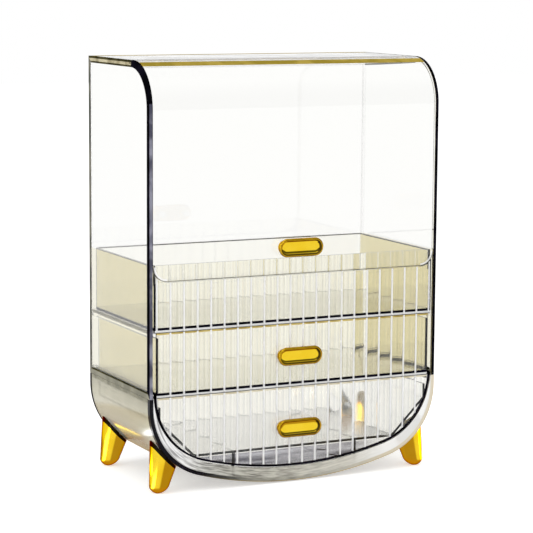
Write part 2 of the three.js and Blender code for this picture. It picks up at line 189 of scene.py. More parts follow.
# %% Join or cut two solids
def combine(bm, other, operation="UNION"):
    pair = []
    for source in (bm, other):
        bmesh.ops.recalc_face_normals(source, faces=source.faces)
        mesh = bpy.data.meshes.new("work")
        source.to_mesh(mesh)
        source.free()
        work = bpy.data.objects.new("work", mesh)
        scene.collection.objects.link(work)
        pair.append(work)
    cut = pair[0].modifiers.new("cut", "BOOLEAN")
    cut.operation = operation
    cut.solver = "EXACT"
    cut.object = pair[1]
    bpy.context.view_layer.update()
    result = bmesh.new()
    result.from_object(pair[0], bpy.context.evaluated_depsgraph_get())
    for work in pair:
        mesh = work.data
        bpy.data.objects.remove(work)
        bpy.data.meshes.remove(mesh)
    return result


# %% [markdown]
# ## Helpers for materials
#
# Every material is a Principled shader whose sockets get a value or a link. What drives a link is
# built from a few kinds of nodes, and each has a helper that makes it, feeds it and returns its
# output: a sum, a change of range, a ramp of tones, a blend of two tones, the place on the object, a
# noise, and the distance that two lengths make.


# %% Nodes for materials
white = (1.0, 1.0, 1.0)


def feed(tree, value, socket):
    if isinstance(value, bpy.types.NodeSocket):
        tree.links.new(value, socket)
    else:
        socket.default_value = (*value, 1) if isinstance(value, tuple) else value


def principled(name, settings):
    material = bpy.data.materials.new(name)
    material.use_nodes = True
    tree = material.node_tree
    shader = tree.nodes["Principled BSDF"]
    for socket, value in settings.items():
        feed(tree, value, shader.inputs[socket])
    return material, tree, shader


def math_node(tree, operation, *values, clamp=False):
    node = tree.nodes.new("ShaderNodeMath")
    node.operation = operation
    node.use_clamp = clamp
    for socket, value in zip(node.inputs, values):
        feed(tree, value, socket)
    return node.outputs["Value"]


def range_node(tree, value, low, high, new_low, new_high):
    node = tree.nodes.new("ShaderNodeMapRange")
    for socket, number in zip(node.inputs, (value, low, high, new_low, new_high)):
        feed(tree, number, socket)
    return node.outputs["Result"]


def ramp_node(tree, value, stops):
    node = tree.nodes.new("ShaderNodeValToRGB")
    while len(node.color_ramp.elements) < len(stops):
        node.color_ramp.elements.new(0.5)
    for element, (position, tone) in zip(node.color_ramp.elements, stops):
        element.position = position
        element.color = (*tone, 1)
    feed(tree, value, node.inputs["Fac"])
    return node.outputs["Color"]


def blend_node(tree, share, first, second, mode="MIX"):
    node = tree.nodes.new("ShaderNodeMix")
    node.data_type = "RGBA"
    node.blend_type = mode
    for index, value in ((0, share), (6, first), (7, second)):
        feed(tree, value, node.inputs[index])
    return node.outputs[2]


def place_node(tree, stretch=None):
    place = tree.nodes.new("ShaderNodeTexCoord").outputs["Object"]
    if stretch is None:
        return place
    mapping = tree.nodes.new("ShaderNodeMapping")
    mapping.inputs["Scale"].default_value = stretch
    feed(tree, place, mapping.inputs["Vector"])
    return mapping.outputs["Vector"]


def axis_nodes(tree):
    split = tree.nodes.new("ShaderNodeSeparateXYZ")
    feed(tree, place_node(tree), split.inputs["Vector"])
    return split.outputs["X"], split.outputs["Y"], split.outputs["Z"]


def noise_node(tree, place, scale, detail=2):
    node = tree.nodes.new("ShaderNodeTexNoise")
    feed(tree, place, node.inputs["Vector"])
    feed(tree, scale, node.inputs["Scale"])
    feed(tree, detail, node.inputs["Detail"])
    return node.outputs["Fac"]


def distance_node(tree, first, second):
    square = math_node(tree, "MULTIPLY", second, second)
    return math_node(tree, "SQRT", math_node(tree, "MULTIPLY_ADD", first, first, square))


# %% [markdown]
# Three more tell a face's side, its slant to the eye, and the tone that a shader has so far. The
# last helper varies the roughness by a noise, so that no finish looks computed.


# %% Sides, slants and uneven roughness
def inside_node(tree):
    return tree.nodes.new("ShaderNodeNewGeometry").outputs["Backfacing"]


def slant_node(tree, blend):
    node = tree.nodes.new("ShaderNodeLayerWeight")
    node.inputs["Blend"].default_value = blend
    return node.outputs["Facing"]


def tone_of(shader):
    return shader.inputs["Base Color"].links[0].from_socket


def uneven_roughness(tree, shader, low, high, scale, detail=2):
    noise = noise_node(tree, place_node(tree), scale, detail)
    feed(tree, range_node(tree, noise, 0.0, 1.0, low, high), shader.inputs["Roughness"])


# %% [markdown]
# ## Clear plastic
#
# The walls are clear styrene, polished and closed. A Principled shader with full transmission and a
# refractive index of 1.49 bends the light as the real walls do. The colour on its own socket tints
# what passes: nearly nothing for the upper walls, a faint champagne for the drawers and the base, and
# a deeper one for the sides of the boxes, where the light comes a long way through the plastic.
# A very weak noise bump gives the slow waviness that moulded sheet has in its reflections. The bottom
# drawer's tub is a little rough, which softens what shows through it.

# %% Clear plastic
plastic_index = 1.49


def clear_plastic(name, tint, roughness=0.0):
    material, tree, shader = principled(name, {
        "Base Color": tint, "Roughness": roughness, "IOR": plastic_index, "Transmission Weight": 1.0,
    })
    bump = tree.nodes.new("ShaderNodeBump")
    bump.inputs["Strength"].default_value = 0.1
    bump.inputs["Distance"].default_value = 0.0004
    feed(tree, noise_node(tree, place_node(tree), 22, 1), bump.inputs["Height"])
    feed(tree, bump.outputs["Normal"], shader.inputs["Normal"])
    return material


wall_plastic = clear_plastic("clear_wall", (0.995, 0.995, 0.985))
drawer_plastic = clear_plastic("clear_drawer", (0.985, 0.98, 0.945))
side_plastic = clear_plastic("clear_drawer_side", (0.82, 0.77, 0.56))
base_plastic = clear_plastic("clear_base", (0.99, 0.985, 0.965))
tub_plastic = clear_plastic("satin_tub", (0.995, 0.995, 0.985), roughness=0.12)
clear_plastics = (wall_plastic, drawer_plastic, side_plastic, base_plastic, tub_plastic)
print("clear plastics:", [item.name for item in clear_plastics])

# %% [markdown]
# The fluted fronts are of the same plastic, but the mould leaves fine upright lines in them. A noise
# that is stretched along the height gives those lines, and a ramp turns them into a slightly lighter
# and darker tint. Each crown is a weak lens as well, and a second ramp, over the place across the
# flute, paints its shade: it darkens the shoulders beside a groove and sets soft dark lines of painted
# shade on the crown. Half a pitch puts the crown in the middle of that ramp, and a hundred flutes more
# keep the count positive.
#
# The lowest front also shows the grey of the space under its drawer's floor, painted in as shade: a
# second tint below a given height, with smears along the width, which fades out towards the right.

# %% Fluted plastic
fade_start, fade_end = 0.055, 0.095
flute_shade_shares = [
    (0.0, 0.74), (0.11, 0.74), (0.17, 1.0), (0.34, 0.96), (0.50, 0.82),
    (0.56, 1.0), (0.65, 1.0), (0.71, 0.87), (0.85, 1.0), (0.91, 0.74),
]
crown_middle = 100.5


def fluted_plastic(name, dark, light, shade_band_top=None):
    material = clear_plastic(name, light)
    tree = material.node_tree
    shader = tree.nodes["Principled BSDF"]
    x, _, z = axis_nodes(tree)
    lines = noise_node(tree, place_node(tree, stretch=(1, 1, 0.012)), 520)
    lined = ramp_node(tree, lines, [(0.38, dark), (0.62, light)])
    flute = math_node(tree, "FRACT", math_node(tree, "MULTIPLY_ADD", x, 1 / flute_pitch, crown_middle))
    # painted shade across each flute: darker shoulders beside a groove, soft dark lines on the crown
    lens = ramp_node(tree, flute, [(place, (share, share, share)) for place, share in flute_shade_shares])
    tone = blend_node(tree, 1.0, lined, lens, "MULTIPLY")
    # painted shade: a dark grey band low on the front for the shaded space under the drawer's floor
    if shade_band_top is not None:
        fade = range_node(tree, x, fade_start, fade_end, 1.0, 0.1)
        band = math_node(tree, "MULTIPLY", math_node(tree, "LESS_THAN", z, shade_band_top), fade)
        shade_smears = noise_node(tree, place_node(tree, stretch=(0.05, 1, 1)), 260)
        grey = ramp_node(tree, shade_smears, [(0.35, (0.02, 0.02, 0.03)), (0.65, (0.26, 0.26, 0.31))])
        tone = blend_node(tree, band, tone, grey)
    feed(tree, tone, shader.inputs["Base Color"])
    return material


crown_plastic = fluted_plastic("fluted_crowns", (0.88, 0.84, 0.67), (1.0, 0.98, 0.86))
low_crown_plastic = fluted_plastic("fluted_low_crowns", (0.99, 0.98, 0.95), (1.0, 1.0, 0.99),
                                   shade_band_top=0.0305)
print("fluted plastics:", crown_plastic.name, low_crown_plastic.name)

# %% [markdown]
# The cut edges of a clear sheet look dark, because the light that enters them runs along inside the
# sheet and leaves far away. That look is painted into materials of their own, as painted shade and
# painted light: nearly black for the long front edges, indigo, grey, olive and beige for the thin
# ones, and a painted gold glint for the bead and the top. Warm and bright ones are painted glints and
# highlights for the thin bands where one front ends above another.
#
# Some painted edges show only from one side or at a slant. Their tone gives way to clear plastic
# where a share says so: seen from inside the sheet, or when the eye meets the face too squarely.


# %% Edges of the sheets
def edge_gloss(name, dark, light, transmission=0.0, gloss=0.0):
    material, tree, shader = principled(name, {
        "IOR": plastic_index, "Transmission Weight": transmission, "Specular IOR Level": gloss,
        "Roughness": 0.08,
    })
    streaks = noise_node(tree, place_node(tree), 60)
    feed(tree, ramp_node(tree, streaks, [(0.42, dark), (0.6, light)]), shader.inputs["Base Color"])
    return material


def clear_where(material, share):
    tree = material.node_tree
    shader = tree.nodes["Principled BSDF"]
    feed(tree, blend_node(tree, share, tone_of(shader), white), shader.inputs["Base Color"])
    feed(tree, share, shader.inputs["Transmission Weight"])


def grazing_edge(name, start):
    steepness = 20.0
    material = edge_gloss(name, (0.30, 0.22, 0.03), (0.42, 0.31, 0.06))
    tree = material.node_tree
    squarer = math_node(tree, "MULTIPLY_ADD", slant_node(tree, 0.5), -steepness, steepness * start + 1.0,
                        clamp=True)
    clear_where(material, math_node(tree, "MAXIMUM", squarer, inside_node(tree)))
    return material


# painted shade and painted light of the edges, not the plastic's own colour
dark_edge = edge_gloss("dark_edge", (0.002, 0.002, 0.003), (0.006, 0.005, 0.011))
indigo_edge = edge_gloss("indigo_edge", (0.08, 0.08, 0.12), (0.34, 0.34, 0.42), 0.2, 0.1)
grey_edge = edge_gloss("grey_edge", (0.10, 0.10, 0.085), (0.22, 0.21, 0.17), 0.2, 0.2)
olive_edge = edge_gloss("olive_edge", (0.03, 0.028, 0.012), (0.08, 0.07, 0.03))
beige_edge = edge_gloss("beige_edge", (0.34, 0.29, 0.16), (0.58, 0.52, 0.34), 0.0, 0.05)
golden_edge = edge_gloss("golden_edge", (0.26, 0.18, 0.02), (0.44, 0.31, 0.06))
seam_edge = edge_gloss("seam_edge", (0.20, 0.19, 0.12), (0.32, 0.30, 0.20), 0.2, 0.2)
gold_seam_glint = edge_gloss("gold_seam_glint", (0.42, 0.30, 0.07), (0.62, 0.48, 0.16))
beige_seam = edge_gloss("beige_seam", (0.62, 0.55, 0.38), (0.80, 0.74, 0.58))
painted_highlight_edge = edge_gloss("painted_highlight_edge", (0.90, 0.90, 0.90), white, 0.3, 0.5)
rear_edge = edge_gloss("rear_edge", (0.10, 0.10, 0.085), (0.20, 0.19, 0.15))
clear_where(rear_edge, inside_node(rear_edge.node_tree))
hinge_painted_glint = grazing_edge("hinge_painted_glint", 0.47)
top_painted_glint = grazing_edge("top_painted_glint", 0.83)
print("edges:", [item.name for item in bpy.data.materials if "edge" in item.name or "seam" in item.name])

# %% [markdown]
# The front ring of the base is painted with the light and shade that fall along its way: painted
# shade, nearly black, up the left side, grey-beige along the bottom where the light breaks up in the
# thick corner, and painted light, clear and pale, at the right. The place along X drives a ramp with
# those tones. Painted streaks of light run along the ring: the nodes work out how far a point lies
# from the centre of its round corner, and the noise changes fast with that distance and slowly along
# the way. Towards the right the streaks fade out.

# %% The ring of the base
streak_start, streak_end, along_share = -0.035, 0.09, 0.1


def painted_ring_shading(name, stops, transmission, grain, gloss=0.1):
    material, tree, shader = principled(name, {
        "IOR": plastic_index, "Transmission Weight": transmission, "Specular IOR Level": gloss,
        "Roughness": 0.12,
    })
    x, _, z = axis_nodes(tree)
    along = range_node(tree, x, -half, half, 0.0, 1.0)
    tones = ramp_node(tree, along, [((place + half) / (2 * half), tone) for place, tone in stops])
    width = math_node(tree, "ABSOLUTE", x)
    outward = math_node(tree, "MAXIMUM", math_node(tree, "SUBTRACT", width, half - corner_radius), 0.0)
    share = math_node(tree, "DIVIDE", width, half - corner_radius, clamp=True)
    centre = math_node(tree, "MULTIPLY_ADD", math_node(tree, "POWER", share, 2.0), bottom_drop,
                       floor_gap + corner_radius)
    downward = math_node(tree, "MAXIMUM", math_node(tree, "SUBTRACT", centre, z), 0.0)
    flow = tree.nodes.new("ShaderNodeCombineXYZ")
    feed(tree, distance_node(tree, outward, downward), flow.inputs["X"])
    feed(tree, math_node(tree, "MULTIPLY", x, along_share), flow.inputs["Y"])
    streaks = noise_node(tree, flow.outputs["Vector"], 620, 3)
    streaked = ramp_node(tree, streaks, [(0.38, (grain, grain, grain)), (0.6, white)])
    fade = range_node(tree, x, streak_start, streak_end, 1.0, 0.0)
    feed(tree, blend_node(tree, fade, tones, streaked, "MULTIPLY"), shader.inputs["Base Color"])
    return material


# painted shading of the ring: dark on the left, light and clear on the right
outer_ring_painted_shading = painted_ring_shading("outer_ring_painted_shading", [
    (-0.14, (0.002, 0.002, 0.006)), (-0.090, (0.003, 0.003, 0.008)), (-0.065, (0.12, 0.12, 0.11)),
    (-0.04, (0.42, 0.41, 0.35)), (0.05, (0.62, 0.60, 0.52)), (0.09, (0.80, 0.72, 0.55)),
    (0.14, (0.86, 0.78, 0.62)),
], 0.1, 0.5)
lip_ring_painted_shading = painted_ring_shading("lip_ring_painted_shading", [
    (-0.14, white), (-0.11, white), (-0.085, (0.62, 0.62, 0.58)), (-0.05, (0.56, 0.55, 0.48)),
    (0.05, (0.74, 0.72, 0.64)), (0.09, (1.0, 1.0, 0.98)), (0.14, (1.0, 1.0, 0.99)),
], 0.2, 0.34, gloss=0.5)
rim_line_painted_shading = painted_ring_shading("rim_line_painted_shading", [
    (-0.14, (0.002, 0.002, 0.006)), (-0.095, (0.003, 0.003, 0.008)), (-0.06, (0.30, 0.25, 0.14)),
    (0.0, (0.50, 0.40, 0.22)), (0.08, (0.66, 0.55, 0.34)), (0.14, (0.70, 0.60, 0.42)),
], 0.05, 0.7)
print("ring:", outer_ring_painted_shading.name, lip_ring_painted_shading.name, rim_line_painted_shading.name)

# %% [markdown]
# The round sides of the base look milky, because the eye meets them at a slant and every layer
# behind adds to them. Their outer skin paints that in: two thirds painted sheen and one third clear
# plastic, beige under the seam, grey in the middle and golden towards the feet, a painted reflection
# of the gold, with a soft uneven noise over it. Light that comes from within passes it as clear
# plastic.


# %% Sides of the base
def painted_sheen_skin(name, stops):
    material, tree, shader = principled(name, {"IOR": plastic_index, "Roughness": 0.1})
    height = range_node(tree, axis_nodes(tree)[2], floor_gap, seam, -0.08, 0.92)
    sheen_noise = noise_node(tree, place_node(tree), 34, 4)
    tones = ramp_node(tree, math_node(tree, "MULTIPLY_ADD", sheen_noise, 0.16, height), stops)
    inside = inside_node(tree)
    feed(tree, range_node(tree, inside, 0.0, 1.0, 0.35, 1.0), shader.inputs["Transmission Weight"])
    feed(tree, blend_node(tree, inside, tones, (0.97, 0.965, 0.94)), shader.inputs["Base Color"])
    return material


# painted sheen and a painted golden reflection of the feet on the sides of the base
base_side_painted_sheen = painted_sheen_skin("painted_sheen_base_side", [
    (0.0, (0.304, 0.239, 0.092)), (0.22, (0.368, 0.331, 0.221)), (0.42, (0.478, 0.488, 0.432)),
    (0.75, (0.570, 0.534, 0.386)), (1.0, (0.313, 0.294, 0.193)),
])
print("sides of the base:", base_side_painted_sheen.name)

# %% [markdown]
# The flutes are parted by narrow grooves. A mould is never polished as well in a groove, so they
# are slightly matt, and their white colour paints the highlights that show as white lines from every
# side.

# %% Grooves
# the white colour paints the grooves' highlights
groove_painted_highlight, groove_tree, groove_shader = principled("groove_painted_highlight", {
    "Base Color": white, "IOR": plastic_index, "Transmission Weight": 0.2,
})
uneven_roughness(groove_tree, groove_shader, 0.15, 0.35, scale=60)
print("grooves:", groove_painted_highlight.name)

# %% [markdown]
# ## Gold and steel
#
# The pulls and the feet are plastic with a mirror-bright gold plating. A metal's colour is its
# reflection, so most of the look comes from the lamps. The tint at grazing angles turns to brown,
# partly by the metal's edge tint and partly as painted shade, and a fine noise in the roughness keeps
# the mirror from looking computed. A pull's rim and the line round its dish mirror darker
# surroundings, so that reflection is painted into darker platings.


# %% Gold plating
def plating(name, dark, light):
    material, tree, shader = principled(name, {"Metallic": 1.0, "Specular Tint": (0.75, 0.35, 0.06)})
    gold = ramp_node(tree, noise_node(tree, place_node(tree), 90, 3), [(0.0, dark), (1.0, light)])
    # painted shade: brown where the eye meets the gold at a slant
    painted_rim_shade = ramp_node(tree, slant_node(tree, 0.4), [(0.45, white), (0.85, (0.34, 0.16, 0.05))])
    feed(tree, blend_node(tree, 1.0, gold, painted_rim_shade, "MULTIPLY"), shader.inputs["Base Color"])
    uneven_roughness(tree, shader, 0.05, 0.12, scale=90, detail=3)
    return material


bright_gold = ((0.84, 0.55, 0.012), (0.95, 0.69, 0.05))
gold_plating = plating("mirror_gold", *bright_gold)
shaded_gold = plating("shaded_gold", (0.42, 0.24, 0.008), (0.62, 0.40, 0.02))
dish_line_painted_shade = plating("gold_dish_painted_shade", (0.05, 0.03, 0.004), (0.10, 0.06, 0.008))
print("gold:", gold_plating.name, shaded_gold.name, dish_line_painted_shade.name)

# %% [markdown]
# The left feet have a dark line where they meet the base, because their tops mirror the shade under
# its round corner. The right ones show none. The nodes measure the distance from the corner's axis,
# and what lies less than 3 mm outside the corner turns dark.

# %% Gold of the feet
foot_line = 0.003
foot_gold = plating("foot_gold", *bright_gold)
foot_tree = foot_gold.node_tree
foot_shader = foot_tree.nodes["Principled BSDF"]
foot_x, _, foot_z = axis_nodes(foot_tree)
from_side = math_node(foot_tree, "SUBTRACT", math_node(foot_tree, "ABSOLUTE", foot_x), half - corner_radius)
from_top = math_node(foot_tree, "SUBTRACT", foot_z, floor_gap + bottom_drop + corner_radius)
from_axis = distance_node(foot_tree, from_side, from_top)
near_base = math_node(foot_tree, "LESS_THAN", from_axis, corner_radius + foot_line)
dark_top = math_node(foot_tree, "MULTIPLY", near_base, math_node(foot_tree, "LESS_THAN", foot_x, 0.0))
foot_tone = blend_node(foot_tree, dark_top, tone_of(foot_shader), (0.012, 0.010, 0.006))
feed(foot_tree, foot_tone, foot_shader.inputs["Base Color"])
print("gold of the feet:", foot_gold.name)

# %% [markdown]
# The screws and pins are plain turned steel. The noise in its roughness is fine, like tool marks.

# %% Steel
turned_steel, steel_tree, steel_shader = principled("turned_steel", {
    "Metallic": 1.0, "Base Color": (0.66, 0.67, 0.69),
})
uneven_roughness(steel_tree, steel_shader, 0.2, 0.4, scale=700)
print("steel:", turned_steel.name)

# %% [markdown]
# ## The side panels
#
# Each side is a flat sheet with a large round corner at the front of its top, where the lid curves
# over. One face with a bevelled corner gives the outline, and extruding it gives the sheet. Three
# insets lay strips along its edges, which carry the tones that show there, most of them painted shade
# and painted light of the edges: dark at the left front, beige at the right front, olive and beige at
# the top, grey at the seam and the rear. The rails that carry the shelves are patches of the inner
# side, cut out by planes and pushed inwards. Up to the tray's rim the inner side has the deeper tint
# of the boxes.

# %% Side panels
lid_radius = 0.040
rail_width, rail_height, rail_end = 0.0033, 0.003, 0.004
guide_gap, rail_back_gap = 0.002, 0.001
strip_reach, seam_reach, tint_start = 0.006, 0.005, 0.006
broad_area = 0.01
shelf_low, shelf_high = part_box("tray_shelf")
deck_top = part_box("drawer_deck")[1].z
rim_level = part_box("upper_tray")[1].z
rail_front, rail_back = shelf_low.y + rail_end, back - wall - rail_back_gap
shelf_rail_low = shelf_low.z - joint_gap - rail_height
guide_rail_low = deck_top + guide_gap
rail_levels = [(low_z, low_z + rail_height) for low_z in (shelf_rail_low, guide_rail_low)]


def side_panel(name, node, side):
    clear, dark, olive, indigo, beige, rear, seam_grey, tinted = range(8)
    bm = bmesh.new()
    corners = [(front, seam + joint_gap), (back, seam + joint_gap), (back, top), (front, top)]
    outline = [bm.verts.new((side * half, y, z)) for y, z in corners]
    bm.faces.new(outline)
    round_off(bm, [outline[3]], "VERTICES", lid_radius, 36)
    extrude(bm, bm.faces[:], (-side * wall, 0, 0))
    bmesh.ops.recalc_face_normals(bm, faces=bm.faces)
    # painted shade at the left front, painted light at the right front
    front_painted_shading = (dark, dark, dark) if side < 0 else (beige, beige, clear)
    strips = [
        (0.0018, front_painted_shading[0], olive, seam_grey, rear),
        (0.0024, front_painted_shading[1], beige, seam_grey, rear),
        (0.0016, front_painted_shading[2], olive, clear, clear),
    ]
    for width, at_front, at_top, at_seam, at_rear in strips:
        bm.normal_update()
        broad = [face for face in bm.faces
                 if abs(face.normal.x) > squarely and face.calc_area() > broad_area]
        for face in bmesh.ops.inset_region(bm, faces=broad, thickness=width, use_even_offset=True)["faces"]:
            centre = face.calc_center_median()
            if centre.y > back - strip_reach and centre.z < top - strip_reach:
                face.material_index = at_rear if abs(centre.x) > half - wall / 2 else clear
            elif centre.z < seam + seam_reach:
                face.material_index = at_seam
            elif centre.y > hinge_y:
                face.material_index = at_top
            else:
                face.material_index = at_front

    def within(centre, normal):
        return abs(normal.x) > squarely and abs(centre.x) < half - wall / 2

    def on_edge(centre, normal):
        return abs(normal.x) < hardly and abs(centre.x) > inner
    slice_at(bm, 1, (rail_front, rail_back))
    for low_z, high_z in rail_levels:
        slice_at(bm, 2, (low_z, high_z))
        push_out(bm, lambda centre, normal: within(centre, normal) and rail_front < centre.y < rail_back
                 and low_z < centre.z < high_z, (-side * rail_width, 0, 0))
    slice_at(bm, 2, (rim_level,))
    paint(bm, tinted, lambda centre, normal: within(centre, normal)
          and seam + tint_start < centre.z < rim_level)
    paint(bm, dark, lambda centre, normal: on_edge(centre, normal) and centre.y < hinge_y
          and (normal.y < -0.2 or normal.z > 0.2))
    paint(bm, indigo, lambda centre, normal: side < 0 and normal.y < -flat and centre.y < front + 0.001)
    paint(bm, olive, lambda centre, normal: on_edge(centre, normal)
          and ((side < 0 and normal.y > 0.5) or (normal.z > 0.5 and centre.y > hinge_y)))
    materials = [wall_plastic, dark_edge, olive_edge, indigo_edge, beige_edge, rear_edge, seam_edge,
                 side_plastic]
    finish(name, bm, "housing", "clear_plastic", materials, node, even=True)


side_panel("left_side_sheet", "left_side_panel", -1)
side_panel("right_side_sheet", "right_side_panel", 1)

# %% [markdown]
# ## The back and the shelves
#
# These are plain sheets between the sides. The front edges of the two shelves get a painted
# highlight, a white line in the joint between two fronts, and their ends show as a grey-green line at
# the side. The back panel's top edge gets a painted gold glint, and its left edge painted grey shade.


# %% Back panel and shelves
def sheet(name, node, materials):
    _, painted_glint, ends = range(3)
    standing = node == "back_panel"
    bm = block(*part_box(node))
    round_off(bm, bm.edges[:], "EDGES", 0.0002, 1)
    # painted glint on the top edge or on the front edges
    paint(bm, painted_glint, lambda centre, normal: normal.z > squarely if standing else normal.y < -squarely)
    paint(bm, ends, lambda centre, normal: abs(normal.x) > squarely and (not standing or centre.x < 0))
    finish(name, bm, "housing", "clear_plastic", materials, node)


sheet("back_sheet", "back_panel", [wall_plastic, golden_edge, grey_edge])
sheet("tray_shelf_sheet", "tray_shelf", [wall_plastic, painted_highlight_edge, seam_edge])
sheet("drawer_deck_sheet", "drawer_deck", [base_plastic, painted_highlight_edge, seam_edge])

# %% [markdown]
# ## The fixed top
#
# A thicker plate behind the hinge. Its front edge is a full round nose beside the lid's bead, so two
# corners of its section are bevelled until they meet, and the section is extruded across. The nose
# and the rear edge get a painted gold glint, and so does a strip of the faces along the rear edge,
# but only when the eye meets it at a slant. The ends are painted olive shade.


# %% A section in the side view, extruded across
def across(section, rounded, x_low, x_high):
    bm = bmesh.new()
    verts = [bm.verts.new((x_low, y, z)) for y, z in section]
    bm.faces.new(verts)
    for index, radius, segments in rounded:
        round_off(bm, [verts[index]], "VERTICES", radius, segments)
    extrude(bm, bm.faces[:], (x_high - x_low, 0, 0))
    bmesh.ops.recalc_face_normals(bm, faces=bm.faces)
    return bm


# %% Top panel
_, golden, olive, glow = range(4)
top_low, top_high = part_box("top_panel")
glow_strip = 0.011
nose = (top_high.z - top_low.z) / 2 - 10 * near
glow_start = back - glow_strip
top_section = [(top_low.y, top_low.z), (back, top_low.z), (back, top), (top_low.y, top)]
top_plate = across(top_section, [(0, nose, 10), (3, nose, 10)], top_low.x, top_high.x)
slice_at(top_plate, 1, (glow_start,))
# painted gold glint on the nose and the rear edge, painted olive shade on the ends
paint(top_plate, golden, lambda centre, normal: abs(normal.x) < hardly and abs(normal.z) < 0.6)
paint(top_plate, glow, lambda centre, normal: abs(normal.z) > squarely and centre.y > glow_start)
paint(top_plate, olive, lambda centre, normal: abs(normal.x) > squarely)
finish("top_plate", top_plate, "housing", "clear_plastic",
       [wall_plastic, golden_edge, olive_edge, top_painted_glint], "top_panel", even=True)

# %% [markdown]
# ## The flip lid
#
# One bent sheet: a flat front pane, a quarter-round over the corner and a bead that turns on the
# hinge pins. Its section is drawn with eight corners, five of which are bevelled round. After the
# section is extruded across, the two lower corners of the front pane are bevelled as well.
#
# The bead gets a painted gold glint. So does the upper part of the curve, where the bend gathers the
# light, but only at a slant. Two thin insets draw a grey line of painted shade along the pane's lower
# edge and painted highlights on its round corners.

# %% Flip lid
_, golden, grey, painted_highlight, glow = range(5)
lid_low, lid_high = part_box("flip_lid")
bead = 0.0024
pane_corner, pane_edge = 0.013, 0.001
glow_low, glow_high = 0.893, 0.965
pane_back, under = front + wall, top - wall
bead_front, bead_under = lid_high.y - 2 * bead, top - 2 * bead
lid_section = [
    (front, lid_low.z), (front, top), (lid_high.y, top), (lid_high.y, bead_under),
    (bead_front, bead_under), (bead_front, under), (pane_back, under), (pane_back, lid_low.z),
]
lid_rounded = [
    (1, lid_radius, 36), (6, lid_radius - wall, 36), (2, bead * 0.99, 6), (3, bead * 0.99, 6),
    (4, bead * 0.8, 6),
]
lid = across(lid_section, lid_rounded, lid_low.x, lid_high.x)
round_off(lid, rearward_edges(lid, lid_low.z), "EDGES", pane_corner, 12)
# painted gold glint on the bead and the curve, painted shade and highlights along the pane
paint(lid, golden, lambda centre, normal: abs(normal.x) < hardly and normal.z < 0.6
      and centre.y > bead_front - skin)
paint(lid, glow, lambda centre, normal: glow_low < normal.z < glow_high and centre.y < front + lid_radius)
paint(lid, grey, lambda centre, normal: abs(normal.y) < hardly and normal.z < -0.2
      and centre.z < lid_low.z + 0.02)
lid.normal_update()
for width, straight, corner in ((0.0007, grey, grey), (0.0016, 0, painted_highlight)):
    pane = [face for face in lid.faces if face.normal.y < -flat and face.calc_area() > broad_area]
    for face in bmesh.ops.inset_region(lid, faces=pane, thickness=width, use_even_offset=True)["faces"]:
        centre = face.calc_center_median()
        if centre.z < lid_low.z + pane_corner + pane_edge:
            at_corner = abs(centre.x) > lid_high.x - pane_corner - pane_edge
            face.material_index = corner if at_corner else straight
finish("curved_lid", lid, "lid", "clear_plastic",
       [wall_plastic, golden_edge, grey_edge, painted_highlight_edge, hinge_painted_glint], "flip_lid", even=True)

# %% [markdown]
# ## Flutes
#
# The tray and the drawers have the same fluted front: broad crowns, 12.7 mm apart, each slightly
# convex, with a narrow groove between two of them. Planes cut the plate into upright columns, close
# together at a groove and wider on a crown, and each column is then moved back to the flute's
# profile. Smooth shading does the rest, and the crowns work as real lenses for what stands behind.
#
# A front is painted in the same way each time: crowns, grooves, and level bands that end at the
# grooves. A band of painted shade at the foot of a front is broken into dashes by that, as the dark
# joint behind the flutes is to the eye.

# %% Groove and paint a front
groove_depth, groove_half, crown_bulge = 0.0008, 0.00085, 0.0004
groove_share = 0.5 - groove_half / flute_pitch
flute_shares = [0.1, 0.2, 0.3, 0.37, groove_share, 0.44, 0.47, 0.5]


def across_flute(x):
    return abs((x / flute_pitch + 0.5) % 1 - 0.5)


def on_crown(x):
    return across_flute(x) < groove_share


def flute_depth(x):
    share = across_flute(x)
    into_groove = max(0.0, 1 - ((0.5 - share) * flute_pitch / groove_half) ** 2)
    return crown_bulge * (2 * share) ** 2 + groove_depth * into_groove ** 2


def groove_front(bm, face_y, reach):
    count = int(reach / flute_pitch) + 1
    places = [(index + sign * share) * flute_pitch for index in range(-count, count + 1)
              for share in flute_shares for sign in (-1, 1)]
    places = sorted({round(x, 6) for x in places if abs(x) < reach - 0.0008})
    slice_at(bm, 0, places)
    for vert in bm.verts:
        if abs(vert.co.y - face_y) < near:
            vert.co.y += flute_depth(vert.co.x)
    print("cuts across the front:", len(places))


def paint_flutes(bm, crown, groove, face_y, *bands):
    deepest = face_y + crown_bulge + groove_depth + 10 * near

    def in_front(centre, normal):
        return normal.y < -0.3 and face_y - near < centre.y < deepest
    paint(bm, crown, lambda centre, normal: in_front(centre, normal) and on_crown(centre.x))
    paint(bm, groove, lambda centre, normal: in_front(centre, normal) and not on_crown(centre.x))
    for index, low_z, high_z in bands:
        paint(bm, index, lambda centre, normal: in_front(centre, normal) and on_crown(centre.x)
              and low_z < centre.z < high_z)


# %% [markdown]
# A tub is a block whose top and front are taken away and whose faces are then given a thickness
# inwards. Its open front ends inside the fluted plate, and the two are joined into one closed solid,
# as the mould makes them.

# %% A tub that is open at the top and the front
rear_corner = 0.005


def tub(low, high, cut_corner=0.0):
    bm = block(low, high)
    if cut_corner:
        round_off(bm, rearward_edges(bm, low[2]), "EDGES", cut_corner, 1)
    else:
        rear = [edge for edge in bm.edges if all(vert.co.y > high[1] - near for vert in edge.verts)
                and abs(edge.verts[0].co.z - edge.verts[1].co.z) > 100 * near]
        round_off(bm, rear, "EDGES", rear_corner, 8)
    bm.normal_update()
    away = [face for face in bm.faces if face.normal.z > squarely or face.normal.y < -squarely]
    bmesh.ops.delete(bm, geom=away, context="FACES")
    bmesh.ops.solidify(bm, geom=bm.faces[:], thickness=box_wall)
    return bm


